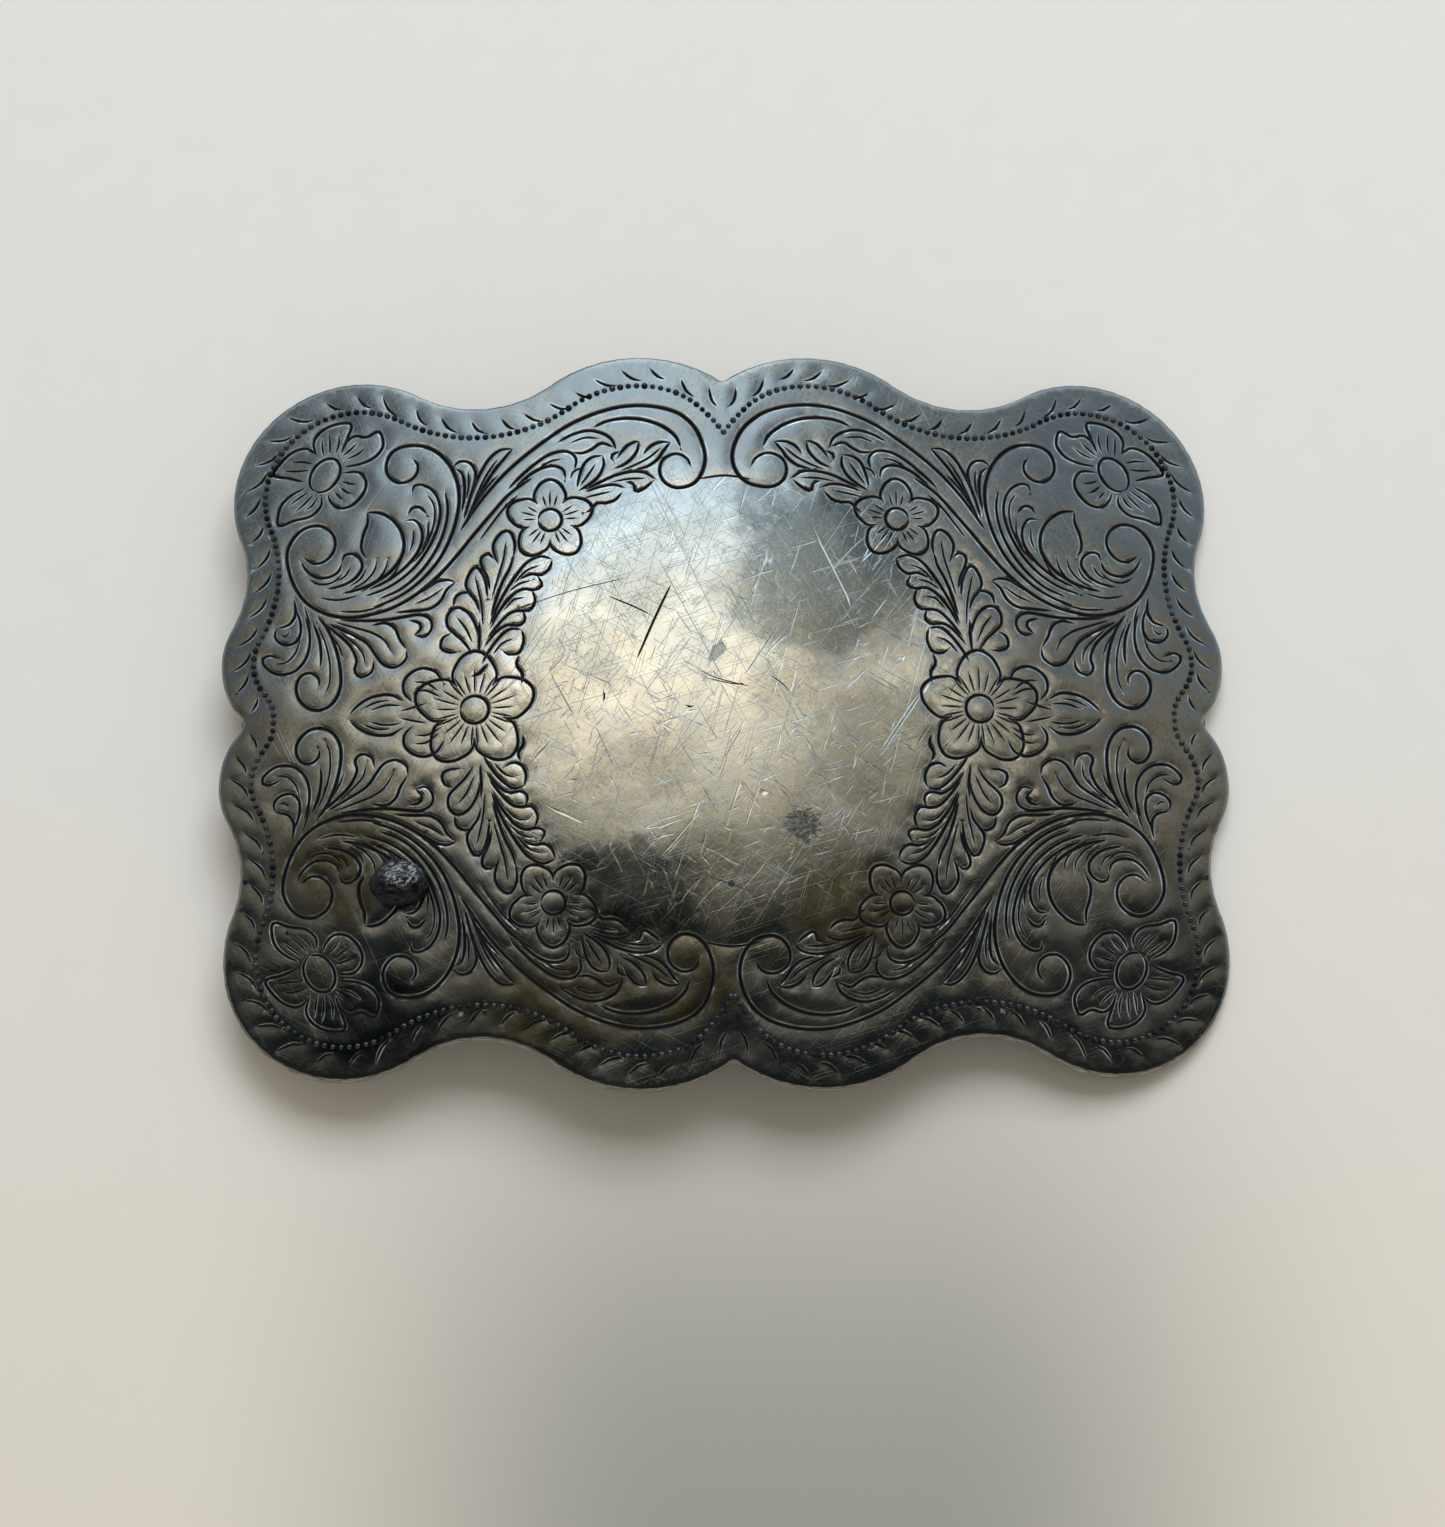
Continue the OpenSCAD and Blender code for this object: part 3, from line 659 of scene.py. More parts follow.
def cut_depth(points):
    """Depth of the engraving and how deep in a cut each place lies, from 0 to 1."""
    sunk = np.zeros(len(points))
    inner = np.zeros(len(points))
    order = np.argsort(points[:, 0])
    xs = points[order, 0]
    for xy, half in lines:
        low, high = xy.min(axis=0) - 0.5, xy.max(axis=0) + 0.5
        span = order[np.searchsorted(xs, low[0]):np.searchsorted(xs, high[0])]
        span = span[(points[span, 1] > low[1]) & (points[span, 1] < high[1])]
        if len(span) == 0:
            continue
        q = points[span][:, None, :]
        a, b = xy[:-1][None], xy[1:][None]
        ab = b - a
        u = np.clip(((q - a) * ab).sum(-1) / (ab ** 2).sum(-1), 0, 1)
        d = np.hypot(*np.moveaxis(q - a - ab * u[..., None], -1, 0))
        r = half[:-1][None] * (1 - u) + half[1:][None] * u
        share = np.clip(1 - d / r, 0, 1)
        deep = (share * r).max(axis=1)
        sunk[span] = np.maximum(sunk[span], deep)
        inner[span] = np.maximum(inner[span], share.max(axis=1))
    return sunk * CUT_SLOPE, inner


depth, recess = cut_depth(plan)
gap = nearest_cut(plan, 2.2)
pillow = PILLOW_H * (1 - np.exp(-np.clip(gap, 0, None) / PILLOW_R))
pillow += PUFF_H * (1 - np.exp(-np.clip(gap, 0, None) / PUFF_R))
pillow += BURR_H * np.clip(1 - np.abs(gap) / BURR_W, 0, 1) * (recess < 0.3)

RIM_ROUND = 0.24
rim_close = np.array(outline_loop(0.12))
edge_in = np.clip(1 - nearest_loop(plan, rim_close, 0.6) / RIM_ROUND, 0, 1)
rim_fall = RIM_ROUND * (1 - np.sqrt(1 - edge_in ** 2 * 0.98))
bead_gap = nearest_loop(plan, bead_loop(0.06), 0.6)
channel = np.clip((CHANNEL_W / 2 - bead_gap) / (CHANNEL_W - CHANNEL_FLOOR) * 2, 0, 1)
depth = np.maximum(depth, CHANNEL_DEPTH * channel)
recess = np.maximum(recess, CHANNEL_DARK * channel)
gap = np.minimum(gap, np.clip(bead_gap - CHANNEL_W / 2, 0, None) + 0.25)
dents = np.array([turbulence(Vector((x, y, 3.0)) / 7.5, 2, False) for x, y in plan])
dents = DENT_H * np.clip(dents - 0.25, 0, 1) * np.clip(nearest_loop(plan, rim_close, 3.0) / 3.0, 0, 1)
face_z = CROWN_Z - face_drop(plan[:, 0], plan[:, 1])
face_z = face_z - PILLOW_H - PUFF_H + pillow - depth - rim_fall - dents

# The back is plain, and a narrow wall joins it to the face all round
back_fill = grid_fill(2.0, lambda p: inside_plate(p, 0.8))
back_flat = [tuple(p) for p in rim] + [tuple(p) for p in back_fill]
rim_edges = [(k, (k + 1) % len(rim)) for k in range(len(rim))]
back_plan, back_faces = meshed(back_flat, rim_edges)
back_z = CROWN_Z - face_drop(back_plan[:, 0], back_plan[:, 1]) - PLATE_T


def rim_numbers(points):
    """Numbers of the vertices that lie on the rim's own points, in the rim's order."""
    tree = KDTree(len(points))
    for i, (x, y) in enumerate(points):
        tree.insert((x, y, 0), i)
    tree.balance()
    return [tree.find((x, y, 0))[1] for x, y in rim]


face_rim = rim_numbers(plan)
back_rim = rim_numbers(back_plan)
verts = [(x * MM, y * MM, z * MM) for (x, y), z in zip(plan, face_z)]
n_face = len(verts)
verts += [(x * MM, y * MM, z * MM) for (x, y), z in zip(back_plan, back_z)]
n_back = len(verts)
rim_centre_z = CROWN_Z - face_drop(*np.array(rim).T)
for (x, y), z in zip(rim, rim_centre_z):
    verts.append((x * MM, y * MM, (z - PLATE_T + WALL_LOW) * MM))
faces = [tuple(f) for f in plan_faces.tolist()]
n_front = len(faces)
faces += [tuple(f) for f in (back_faces[:, ::-1] + n_face).tolist()]
for k in range(len(rim)):
    j = (k + 1) % len(rim)
    faces.append((face_rim[k], face_rim[j], n_back + j, n_back + k))
    faces.append((n_back + k, n_back + j, back_rim[j] + n_face, back_rim[k] + n_face))

plate_mesh = bpy.data.meshes.new("engraved_plate")
plate_mesh.from_pydata(verts, [], faces)
# How close each place is to a cut's edge, which sets where the painted highlight runs along the cuts
near_cut_glint = np.exp(-np.clip(gap, 0, None) / GLINT_REACH)
for name, on_face in (("recess", recess), ("near_cut_glint", near_cut_glint)):
    values = np.zeros(len(verts), np.float32)
    values[:n_face] = on_face
    plate_mesh.attributes.new(name, "FLOAT", "POINT").data.foreach_set("value", values)
plate_mesh.validate()
plate_mesh.shade_smooth()
plate_mesh.set_sharp_from_angle(angle=math.radians(38))
plate = add_object("engraved_plate", plate_mesh)
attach(plate, "buckle")
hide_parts("face_plate")


# ---- The plate's finish
# Nickel silver, darkened all over and then polished back: black stays in every cut, a grey bloom
# stays at the ends, and the middle is rubbed bright by the hand and crossed by fine marks.
BRIGHT = (0.64, 0.600, 0.51, 1)
BLOOM = (0.270, 0.260, 0.232, 1)
OLIVE = (0.120, 0.098, 0.045, 1)
SLATE = (0.060, 0.067, 0.062, 1)
BLACK = (0.012, 0.012, 0.013, 1)


def new_material(name):
    """An empty material with its shader and its object coordinates, ready to be wired."""
    material = bpy.data.materials.new(name)
    material.use_nodes = True
    tree = material.node_tree
    shader = tree.nodes["Principled BSDF"]
    place = tree.nodes.new("ShaderNodeTexCoord")
    return material, tree, shader, place.outputs["Object"]


def feed(tree, socket, value):
    """Joins an output to a socket, or sets the socket to a plain value."""
    if hasattr(value, "is_linked"):
        tree.links.new(value, socket)
    else:
        socket.default_value = value


def maths(tree, kind, a, b=0.0, c=0.0):
    """One Math node, and its result."""
    node = tree.nodes.new("ShaderNodeMath")
    node.operation = kind
    for socket, value in zip(node.inputs, (a, b, c)):
        feed(tree, socket, value)
    return node.outputs[0]


def largest(tree, values):
    """The largest of several values."""
    result = values[0]
    for value in values[1:]:
        result = maths(tree, "MAXIMUM", result, value)
    return result


def times(tree, *values):
    """Several values multiplied."""
    result = values[0]
    for value in values[1:]:
        result = maths(tree, "MULTIPLY", result, value)
    return result


def noise(tree, place, scale, detail=3.0, rough=0.55):
    """Fractal noise over a place, as a value."""
    node = tree.nodes.new("ShaderNodeTexNoise")
    feed(tree, node.inputs["Vector"], place)
    feed(tree, node.inputs["Scale"], scale)
    node.inputs["Detail"].default_value = detail
    node.inputs["Roughness"].default_value = rough
    return node.outputs["Fac"]


def between(tree, value, low, high, to_low=0.0, to_high=1.0):
    """A smooth step of a value from low to high."""
    node = tree.nodes.new("ShaderNodeMapRange")
    node.interpolation_type = "SMOOTHSTEP"
    feed(tree, node.inputs["Value"], value)
    for name, number in (("From Min", low), ("From Max", high), ("To Min", to_low), ("To Max", to_high)):
        feed(tree, node.inputs[name], number)
    return node.outputs["Result"]


def tint(tree, share, a, b):
    """A colour between a and b."""
    node = tree.nodes.new("ShaderNodeMix")
    node.data_type = "RGBA"
    feed(tree, node.inputs["Factor"], share)
    feed(tree, node.inputs[6], a)
    feed(tree, node.inputs[7], b)
    return node.outputs[2]


def layered(tree, under, layers):
    """A colour with others laid over it in turn, each by its mask, its strength and its colour."""
    for mask, strength, paint in layers:
        under = tint(tree, times(tree, mask, strength), under, paint)
    return under


def cells(tree, place, size, turn=0.0, shift=0.0):
    """A place counted in cells of a size, in millimetres along each axis of a turned pattern."""
    node = tree.nodes.new("ShaderNodeMapping")
    node.vector_type = "TEXTURE"
    feed(tree, node.inputs["Vector"], place)
    node.inputs["Rotation"].default_value = (0, 0, turn)
    node.inputs["Scale"].default_value = [length * MM for length in size]
    node.inputs["Location"].default_value = (shift, shift, 0)
    return node.outputs["Vector"]


def start_group(name, inputs, outputs):
    """An empty shader group with named inputs, each with its value, and named outputs."""
    group = bpy.data.node_groups.new(name, "ShaderNodeTree")
    for label, kind, value in inputs:
        socket = group.interface.new_socket(name=label, in_out="INPUT", socket_type=kind)
        if value is not None:
            socket.default_value = value
    for label in outputs:
        group.interface.new_socket(name=label, in_out="OUTPUT", socket_type="NodeSocketFloat")
    source = group.nodes.new("NodeGroupInput")
    result = group.nodes.new("NodeGroupOutput")
    return group, source.outputs, result.inputs


def use_group(tree, group, **values):
    """A group placed in a material, with its own values; the result is its outputs."""
    node = tree.nodes.new("ShaderNodeGroup")
    node.node_tree = group
    for label, value in values.items():
        feed(tree, node.inputs[label.replace("_", " ")], value)
    return node.outputs


def bump(tree, height, strength, distance):
    """A Bump node's normal from a height."""
    node = tree.nodes.new("ShaderNodeBump")
    node.inputs["Strength"].default_value = strength
    node.inputs["Distance"].default_value = distance
    feed(tree, node.inputs["Height"], height)
    return node.outputs["Normal"]


def dress(tree, shader, colour, rough, metal, height, strength, distance):
    """Gives a finish its colour, its roughness, how metallic it is and its fine relief."""
    feed(tree, shader.inputs["Base Color"], colour)
    feed(tree, shader.inputs["Roughness"], rough)
    feed(tree, shader.inputs["Metallic"], metal)
    feed(tree, shader.inputs["Normal"], bump(tree, height, strength, distance))


# Rubbing marks: sets of long thin lines that cross each other, broken into short lengths. The
# lines are the level lines of a noise that is drawn out along one direction.
scratches, given, made = start_group(
    "rubbing_marks",
    (("Place", "NodeSocketVector", None),
     ("Width", "NodeSocketFloat", 1.0),
     ("Share", "NodeSocketFloat", 0.5)),
    ("Marks", "Deep"))
MARK_SETS = ((0.30, 16, 0.42), (0.85, 11, 0.36), (1.30, 20, 0.50), (2.05, 13, 0.40), (2.62, 15, 0.44))
sets = []
for turn, reach, lane in MARK_SETS:
    drawn_out = cells(scratches, given["Place"], (reach, lane, lane * 4), turn, turn * MM * 40)
    above_level = maths(scratches, "SUBTRACT", noise(scratches, drawn_out, 1.0, 0.0), 0.5)
    off_level = maths(scratches, "ABSOLUTE", above_level)
    line = between(scratches, off_level, 0.0, maths(scratches, "MULTIPLY", given["Width"], 0.02), 1.0, 0.0)
    lengths = cells(scratches, given["Place"], (reach * 0.28, lane * 1.6, 5), turn, 0.5)
    broken = noise(scratches, lengths, 1.0, 1.0)
    least = maths(scratches, "SUBTRACT", 0.72, maths(scratches, "MULTIPLY", given["Share"], 0.4))
    kept = between(scratches, broken, least, maths(scratches, "ADD", least, 0.04))
    sets.append(maths(scratches, "MULTIPLY", line, kept))
scratches.links.new(largest(scratches, sets), made["Marks"])
scratches.links.new(maths(scratches, "MAXIMUM", sets[0], sets[2]), made["Deep"])

# Tarnish: soft cloudy patches with a fine speckle inside them
PATCH_EDGE = 0.08
tarnish, given, made = start_group(
    "tarnish",
    (("Place", "NodeSocketVector", None),
     ("Patch size", "NodeSocketFloat", 6.0),
     ("Share", "NodeSocketFloat", 0.5)),
    ("Cloud", "Speckle"))
in_patches = cells(tarnish, given["Place"], (1, 1, 1), 0.4)
cloud = noise(tarnish, in_patches, maths(tarnish, "DIVIDE", 1.0, given["Patch size"]), 6.0, 0.62)
edge = maths(tarnish, "SUBTRACT", 0.75, maths(tarnish, "MULTIPLY", given["Share"], 0.5))
edge_low = maths(tarnish, "SUBTRACT", edge, PATCH_EDGE)
edge_high = maths(tarnish, "ADD", edge, PATCH_EDGE)
tarnish.links.new(between(tarnish, cloud, edge_low, edge_high), made["Cloud"])
speckle = noise(tarnish, in_patches, 3.2, 4.0, 0.7)
tarnish.links.new(between(tarnish, speckle, 0.52, 0.66), made["Speckle"])


nickel, tree, shader, place = new_material("worn_nickel_silver")


def attribute(tree, name):
    """A value kept on the mesh's own points."""
    node = tree.nodes.new("ShaderNodeAttribute")
    node.attribute_name = name
    return node.outputs["Fac"]


def spot(tree, place, x, y, radius, ragged, narrow=1.0, turn=0.0):
    """A ragged mark on the face: 1 at its middle and 0 past its radius, in millimetres."""
    flat = tree.nodes.new("ShaderNodeVectorMath")
    flat.operation = "MULTIPLY"
    tree.links.new(place, flat.inputs[0])
    flat.inputs[1].default_value = (1, 1, 0)
    local = cells(tree, flat.outputs["Vector"], (1, narrow, 1), turn)
    across = (x * math.cos(turn) + y * math.sin(turn), (y * math.cos(turn) - x * math.sin(turn)) / narrow, 0)
    away = tree.nodes.new("ShaderNodeVectorMath")
    away.operation = "DISTANCE"
    tree.links.new(local, away.inputs[0])
    away.inputs[1].default_value = across
    uneven = maths(tree, "SUBTRACT", noise(tree, local, 2.4 / radius, 4.0, 0.65), 0.5)
    reach = maths(tree, "ADD", away.outputs["Value"], maths(tree, "MULTIPLY", uneven, ragged))
    return between(tree, reach, 0.6 * radius, radius, 1.0, 0.0)


sunk = attribute(tree, "recess")
close = attribute(tree, "near_cut_glint")
fine = use_group(tree, scratches, Place=place, Width=1.0, Share=0.50)
far_apart = cells(tree, place, (2300, 2300, 2300), 0.7)
deep = use_group(tree, scratches, Place=far_apart, Width=0.8, Share=0.30)
close_set = cells(tree, place, (380, 380, 380), 1.1)
hair = use_group(tree, scratches, Place=close_set, Width=1.5, Share=0.52)
cloud = use_group(tree, tarnish, Place=place, Patch_size=8.0, Share=0.5)
small_cloud = use_group(tree, tarnish, Place=place, Patch_size=2.4, Share=0.42)

# Rubbed bright in the middle and, less, towards the left end
worn = spot(tree, place, -1, 2, 27, 14, 0.87)
rubbed_end = times(tree, spot(tree, place, -29, 4, 13, 9), 0.38)
colour = tint(tree, largest(tree, [worn, rubbed_end]), BLOOM, BRIGHT)

# A dark grey patch above and right of the middle with a fainter one right of it, and a browner, darker patch
# across the lower middle
dark_grey_patches = largest(tree, [spot(tree, place, 9.5, 12.5, 11, 9, 0.9, 0.6),
                      times(tree, spot(tree, place, 14, -4, 8, 8), 0.5)])
lower_brown_patch = spot(tree, place, 0, -17, 16, 10, 0.5)
colour = layered(tree, colour, (
    (cloud["Cloud"], 0.45, (0.36, 0.335, 0.26, 1)),
    (dark_grey_patches, 0.92, (0.19, 0.19, 0.16, 1)),
    (lower_brown_patch, 0.5, (0.27, 0.24, 0.165, 1))))

# Slate and olive patches, and a speckle of the same olive
slate = largest(tree, [spot(tree, place, -9.2, -16.6, 7.2, 7, 0.78, 0.1),
                       times(tree, spot(tree, place, 3.2, 19.0, 3.2, 4), 0.5),
                       spot(tree, place, -30.5, -27.0, 7.0, 7, 0.7)])
low_patches = largest(tree, [spot(tree, place, 10.5, -17.8, 6.8, 6, 0.85),
                             spot(tree, place, -14.0, -26.0, 11.0, 9, 0.5),
                             spot(tree, place, -34.0, -13.0, 7.0, 9),
                             spot(tree, place, -3.5, -24.5, 5.0, 5)])
olive = times(tree, low_patches, between(tree, small_cloud["Cloud"], 0.0, 1.0, 0.62, 0.95))
colour = layered(tree, colour, (
    (slate, between(tree, small_cloud["Cloud"], 0.0, 1.0, 0.85, 1.0), SLATE),))
colour = tint(tree, olive, colour, OLIVE)
colour = layered(tree, colour, (
    (small_cloud["Speckle"], between(tree, cloud["Cloud"], 0.0, 1.0, 0.06, 0.38), OLIVE),))

# Scratches that have cut through the tarnish
scored = largest(tree, [times(tree, fine["Marks"], 0.55), deep["Deep"]])
colour = tint(tree, times(tree, hair["Marks"], worn, 0.22), colour, (0.92, 0.87, 0.74, 1))
colour = layered(tree, colour, (
    (scored, between(tree, worn, 0.0, 1.0, 0.05, 0.65), (0.92, 0.89, 0.80, 1)),))

# Corroded pits, a painted highlight along the edges of the cuts, and the black in them
pitting = noise(tree, cells(tree, place, (0.35, 0.35, 0.35)), 1.0, 4.0)
corroded = times(tree, spot(tree, place, 6.3, -10.7, 1.8, 3.0), between(tree, pitting, 0.35, 0.62, 0.45, 1.0))
pits = largest(tree, [corroded, spot(tree, place, 0, -15.9, 0.36, 0.2),
                      times(tree, spot(tree, place, -0.9, 5.1, 1.1, 2.6, 0.5, 0.9), 0.5)])
# Painted highlight: here and there, the metal right along the edges of the cuts is coloured lighter, as
# glints on the burrs
here_and_there = between(tree, noise(tree, place, 520.0, 3.0), 0.46, 0.62, 0.0, 0.55)
colour = layered(tree, colour, (
    (between(tree, close, 0.62, 0.98), here_and_there, (0.74, 0.71, 0.63, 1)),))
blacked = largest(tree, [between(tree, sunk, 0.08, 0.46), times(tree, pits, 0.85)])
colour = tint(tree, blacked, colour, BLACK)
rub = between(tree, noise(tree, cells(tree, place, (5, 5, 5)), 1.0, 5.0), 0.32, 0.68, 0.14, 0.24)
rough = maths(tree, "ADD", rub, times(tree, olive, 0.10))
rough = maths(tree, "ADD", rough, times(tree, blacked, 0.15))
ripple = times(tree, noise(tree, cells(tree, place, (1.6, 1.6, 1.6)), 1.0, 3.0), 0.35)
height = maths(tree, "SUBTRACT", ripple, times(tree, scored, between(tree, worn, 0.0, 1.0, 0.12, 0.6)))
height = maths(tree, "SUBTRACT", height, pits)
metal = between(tree, blacked, 0.4, 1.0, 1.0, 0.5)
dress(tree, shader, colour, rough, metal, height, 0.5, 0.00006)
plate_mesh.materials.append(nickel)

# The back was never polished: rolled, dull, with brown flux stains round what is soldered to it
HINGE_X = 12.0
HOOK_X = -21.0
back_metal, tree, shader, place = new_material("dull_back_sheet")
rolled = noise(tree, cells(tree, place, (9, 0.12, 1)), 1.0, 3.0)
cloud = use_group(tree, tarnish, Place=place, Patch_size=9.0, Share=0.5)
mark = use_group(tree, scratches, Place=place, Width=1.2, Share=0.35)
stain = largest(tree, [spot(tree, place, HINGE_X, 0, 9.5, 4, 2.2), spot(tree, place, HOOK_X, 0, 8.0, 4)])
colour = tint(tree, rolled, (0.36, 0.345, 0.31, 1), (0.44, 0.42, 0.38, 1))
colour = layered(tree, colour, (
    (cloud["Cloud"], 0.45, (0.25, 0.22, 0.17, 1)),
    (stain, 0.6, (0.17, 0.125, 0.075, 1)),
    (cloud["Speckle"], 0.12, (0.12, 0.10, 0.07, 1)),
    (mark["Marks"], 0.4, (0.62, 0.60, 0.54, 1))))
rough = maths(tree, "ADD", between(tree, rolled, 0.3, 0.7, 0.30, 0.44), times(tree, stain, 0.15))
height = maths(tree, "SUBTRACT", times(tree, rolled, 0.25), times(tree, mark["Marks"], 0.4))
dress(tree, shader, colour, rough, 1.0, height, 0.4, 0.00005)
plate_mesh.materials.append(back_metal)
finish_of_face = np.zeros(len(plate_mesh.polygons), np.int32)
finish_of_face[n_front:] = 1
plate_mesh.polygons.foreach_set("material_index", finish_of_face)


# ---- The bead row
# A punch struck a row of tiny round dots all round, just inside the rim, drawn to a point under the top and
# bottom notches. They are part of the same sheet, and are coloured nearly black.
BEAD_D = 0.58
BEAD_PITCH = 0.73
BEAD_SINK = 0.04
BEAD_SMALLEST = 0.86
BEAD_LARGEST = 1.08

bead_path = bead_loop(0.25).tolist()
path_mesh = bpy.data.meshes.new("bead_row")
path_verts = []
for x, y in bead_path:
    path_verts.append((x * MM, y * MM, (CROWN_Z - face_drop(x, y) - CHANNEL_DEPTH - BEAD_SINK) * MM))
path_mesh.from_pydata(path_verts, [(k, (k + 1) % len(path_verts)) for k in range(len(path_verts))], [])
bead_row = add_object("bead_row", path_mesh)
bead_tree = bpy.data.node_groups.new("bead_row_along_path", "GeometryNodeTree")
bead_tree.interface.new_socket(name="Path", in_out="INPUT", socket_type="NodeSocketGeometry")
for label, kind in (("Pitch", "NodeSocketFloat"), ("Diameter", "NodeSocketFloat"),
                    ("Seed", "NodeSocketInt"), ("Finish", "NodeSocketMaterial")):
    bead_tree.interface.new_socket(name=label, in_out="INPUT", socket_type=kind)
bead_tree.interface.new_socket(name="Beads", in_out="OUTPUT", socket_type="NodeSocketGeometry")
given = bead_tree.nodes.new("NodeGroupInput").outputs
to_curve = bead_tree.nodes.new("GeometryNodeMeshToCurve")
resample = bead_tree.nodes.new("GeometryNodeResampleCurve")
resample.mode = "LENGTH"
on_points = bead_tree.nodes.new("GeometryNodeInstanceOnPoints")
one_bead = bead_tree.nodes.new("GeometryNodeMeshUVSphere")
one_bead.inputs["Segments"].default_value = 8
one_bead.inputs["Rings"].default_value = 6
size_range = bead_tree.nodes.new("FunctionNodeRandomValue")
size_range.data_type = "FLOAT"
size_range.inputs[2].default_value = BEAD_SMALLEST
size_range.inputs[3].default_value = BEAD_LARGEST
real = bead_tree.nodes.new("GeometryNodeRealizeInstances")
smooth = bead_tree.nodes.new("GeometryNodeSetShadeSmooth")
finish = bead_tree.nodes.new("GeometryNodeSetMaterial")
result = bead_tree.nodes.new("NodeGroupOutput")
half_across = maths(bead_tree, "MULTIPLY", given["Diameter"], 0.5)
JOINS = (
    (given["Path"], to_curve.inputs["Mesh"]),
    (to_curve.outputs["Curve"], resample.inputs["Curve"]),
    (given["Pitch"], resample.inputs["Length"]),
    (resample.outputs["Curve"], on_points.inputs["Points"]),
    (half_across, one_bead.inputs["Radius"]),
    (one_bead.outputs["Mesh"], on_points.inputs["Instance"]),
    (given["Seed"], size_range.inputs["Seed"]),
    (size_range.outputs[1], on_points.inputs["Scale"]),
    (on_points.outputs["Instances"], real.inputs["Geometry"]),
    (real.outputs["Geometry"], smooth.inputs["Geometry"]),
    (smooth.outputs["Geometry"], finish.inputs["Geometry"]),
    (given["Finish"], finish.inputs["Material"]),
    (finish.outputs["Geometry"], result.inputs["Beads"]))
for start, end in JOINS:
    bead_tree.links.new(start, end)

dark_bead_finish, tree, shader, place = new_material("dark_beads")
cloud = use_group(tree, tarnish, Place=place, Patch_size=2.5, Share=0.5)
colour = tint(tree, cloud["Cloud"], (0.13, 0.13, 0.125, 1), (0.030, 0.032, 0.036, 1))
feed(tree, shader.inputs["Base Color"], layered(tree, colour, ((cloud["Speckle"], 0.5, BLACK),)))
feed(tree, shader.inputs["Roughness"], between(tree, cloud["Cloud"], 0, 1, 0.2, 0.4))
shader.inputs["Metallic"].default_value = 1.0


def grow(piece, tree, values):
    """Runs a Geometry Nodes tree on a piece and keeps the result as the piece's plain mesh."""
    modifier = piece.modifiers.new("grow", "NODES")
    modifier.node_group = tree
    for item in tree.interface.items_tree:
        if item.in_out == "INPUT" and item.name in values:
            modifier[item.identifier] = values[item.name]
    piece.update_tag()
    bpy.context.view_layer.update()
    worked_out = piece.evaluated_get(bpy.context.evaluated_depsgraph_get())
    grown = bpy.data.meshes.new_from_object(worked_out)
    piece.modifiers.remove(modifier)
    piece.data = grown
    grown.name = piece.name


grow(bead_row, bead_tree, {"Pitch": BEAD_PITCH * MM, "Diameter": BEAD_D * MM, "Seed": 4, "Finish": dark_bead_finish})
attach(bead_row, "buckle")


# ---- The dark lump
# A bead of black stuff, most likely pitch or burnt solder flux, stuck on one corner of the face.
# It is a low blob with an uneven, shining skin, and a lighter grey is painted on its upper part as a
# highlight.
low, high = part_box("repair_lump")
lump_mesh = bpy.data.meshes.new("dark_lump")
lump_form = bmesh.new()
bmesh.ops.create_icosphere(lump_form, subdivisions=5, radius=1.0)
half = (high - low) / 2
middle = (high + low) / 2
for vert in lump_form.verts:
    way = vert.co.copy()
    broad = 0.13 * noise_at(way * 1.3 + Vector((3, 1, 7)))
    swell = 1 + broad + 0.08 * noise_at(way * 3.4) + 0.03 * noise_at(way * 9)
    vert.co = middle + Vector((way.x * half.x, way.y * half.y, way.z * half.z)) * swell
lump_form.to_mesh(lump_mesh)
lump_form.free()
lump_mesh.shade_smooth()
lump = add_object("dark_lump", lump_mesh)
pitch, tree, shader, place = new_material("burnt_pitch")
crust = noise(tree, cells(tree, place, (0.5, 0.5, 0.5)), 1.0, 5.0, 0.6)
colour = tint(tree, between(tree, crust, 0.42, 0.70), (0.003, 0.004, 0.005, 1), (0.010, 0.011, 0.012, 1))
# Painted highlight: a crinkled lighter grey patch on the lump's upper part, where the light catches it
painted_top_highlight = spot(tree, place, middle.x / MM + 0.2, middle.y / MM + 0.7, 2.0, 1.6, 0.7)
crinkle = between(tree, noise(tree, cells(tree, place, (0.42, 0.26, 0.4), 0.4), 1.0, 3.0), 0.46, 0.62)
colour = tint(tree, times(tree, painted_top_highlight, crinkle, 0.8), colour, (0.34, 0.35, 0.36, 1))
dress(tree, shader, colour, between(tree, crust, 0.35, 0.7, 0.08, 0.22), 0.0, crust, 0.5, 0.00012)
shader.inputs["IOR"].default_value = 1.4
lump_mesh.materials.append(pitch)
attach(lump, "buckle")
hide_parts("repair_lump")


# ---- The hinge strap and its solder
# A strip of the same sheet is soft-soldered across the back to carry the hinge. It was sheared
# and filed, never polished, and has gone dull and brown in places.


def melted(name, size, uneven, patch, dark, light, stain, rough, skin):
    """A solder's or braze's finish: flowed metal with a little relief, and stains in patches."""
    material, tree, shader, place = new_material(name)
    flow = noise(tree, cells(tree, place, (size, size, size)), 1.0, 5.0, uneven)
    stains = use_group(tree, tarnish, Place=place, Patch_size=patch, Share=0.5)
    colour = layered(tree, tint(tree, flow, dark, light), ((stains["Cloud"], 0.6, stain),))
    dress(tree, shader, colour, between(tree, flow, 0.35, 0.7, *rough), 1.0, flow, 0.6, skin)
    return material


soft_solder = melted("soft_solder", 1.4, 0.55, 2.0, (0.42, 0.43, 0.44, 1), (0.60, 0.61, 0.62, 1),
                     (0.17, 0.165, 0.16, 1), (0.28, 0.52), 0.00015)

FILM_T = 0.15
STRAP_T = 0.8
STRAP_SIZE = (9.0, 34.0)
STRAP_CORNER = 1.0
SOLDER_R = 0.48


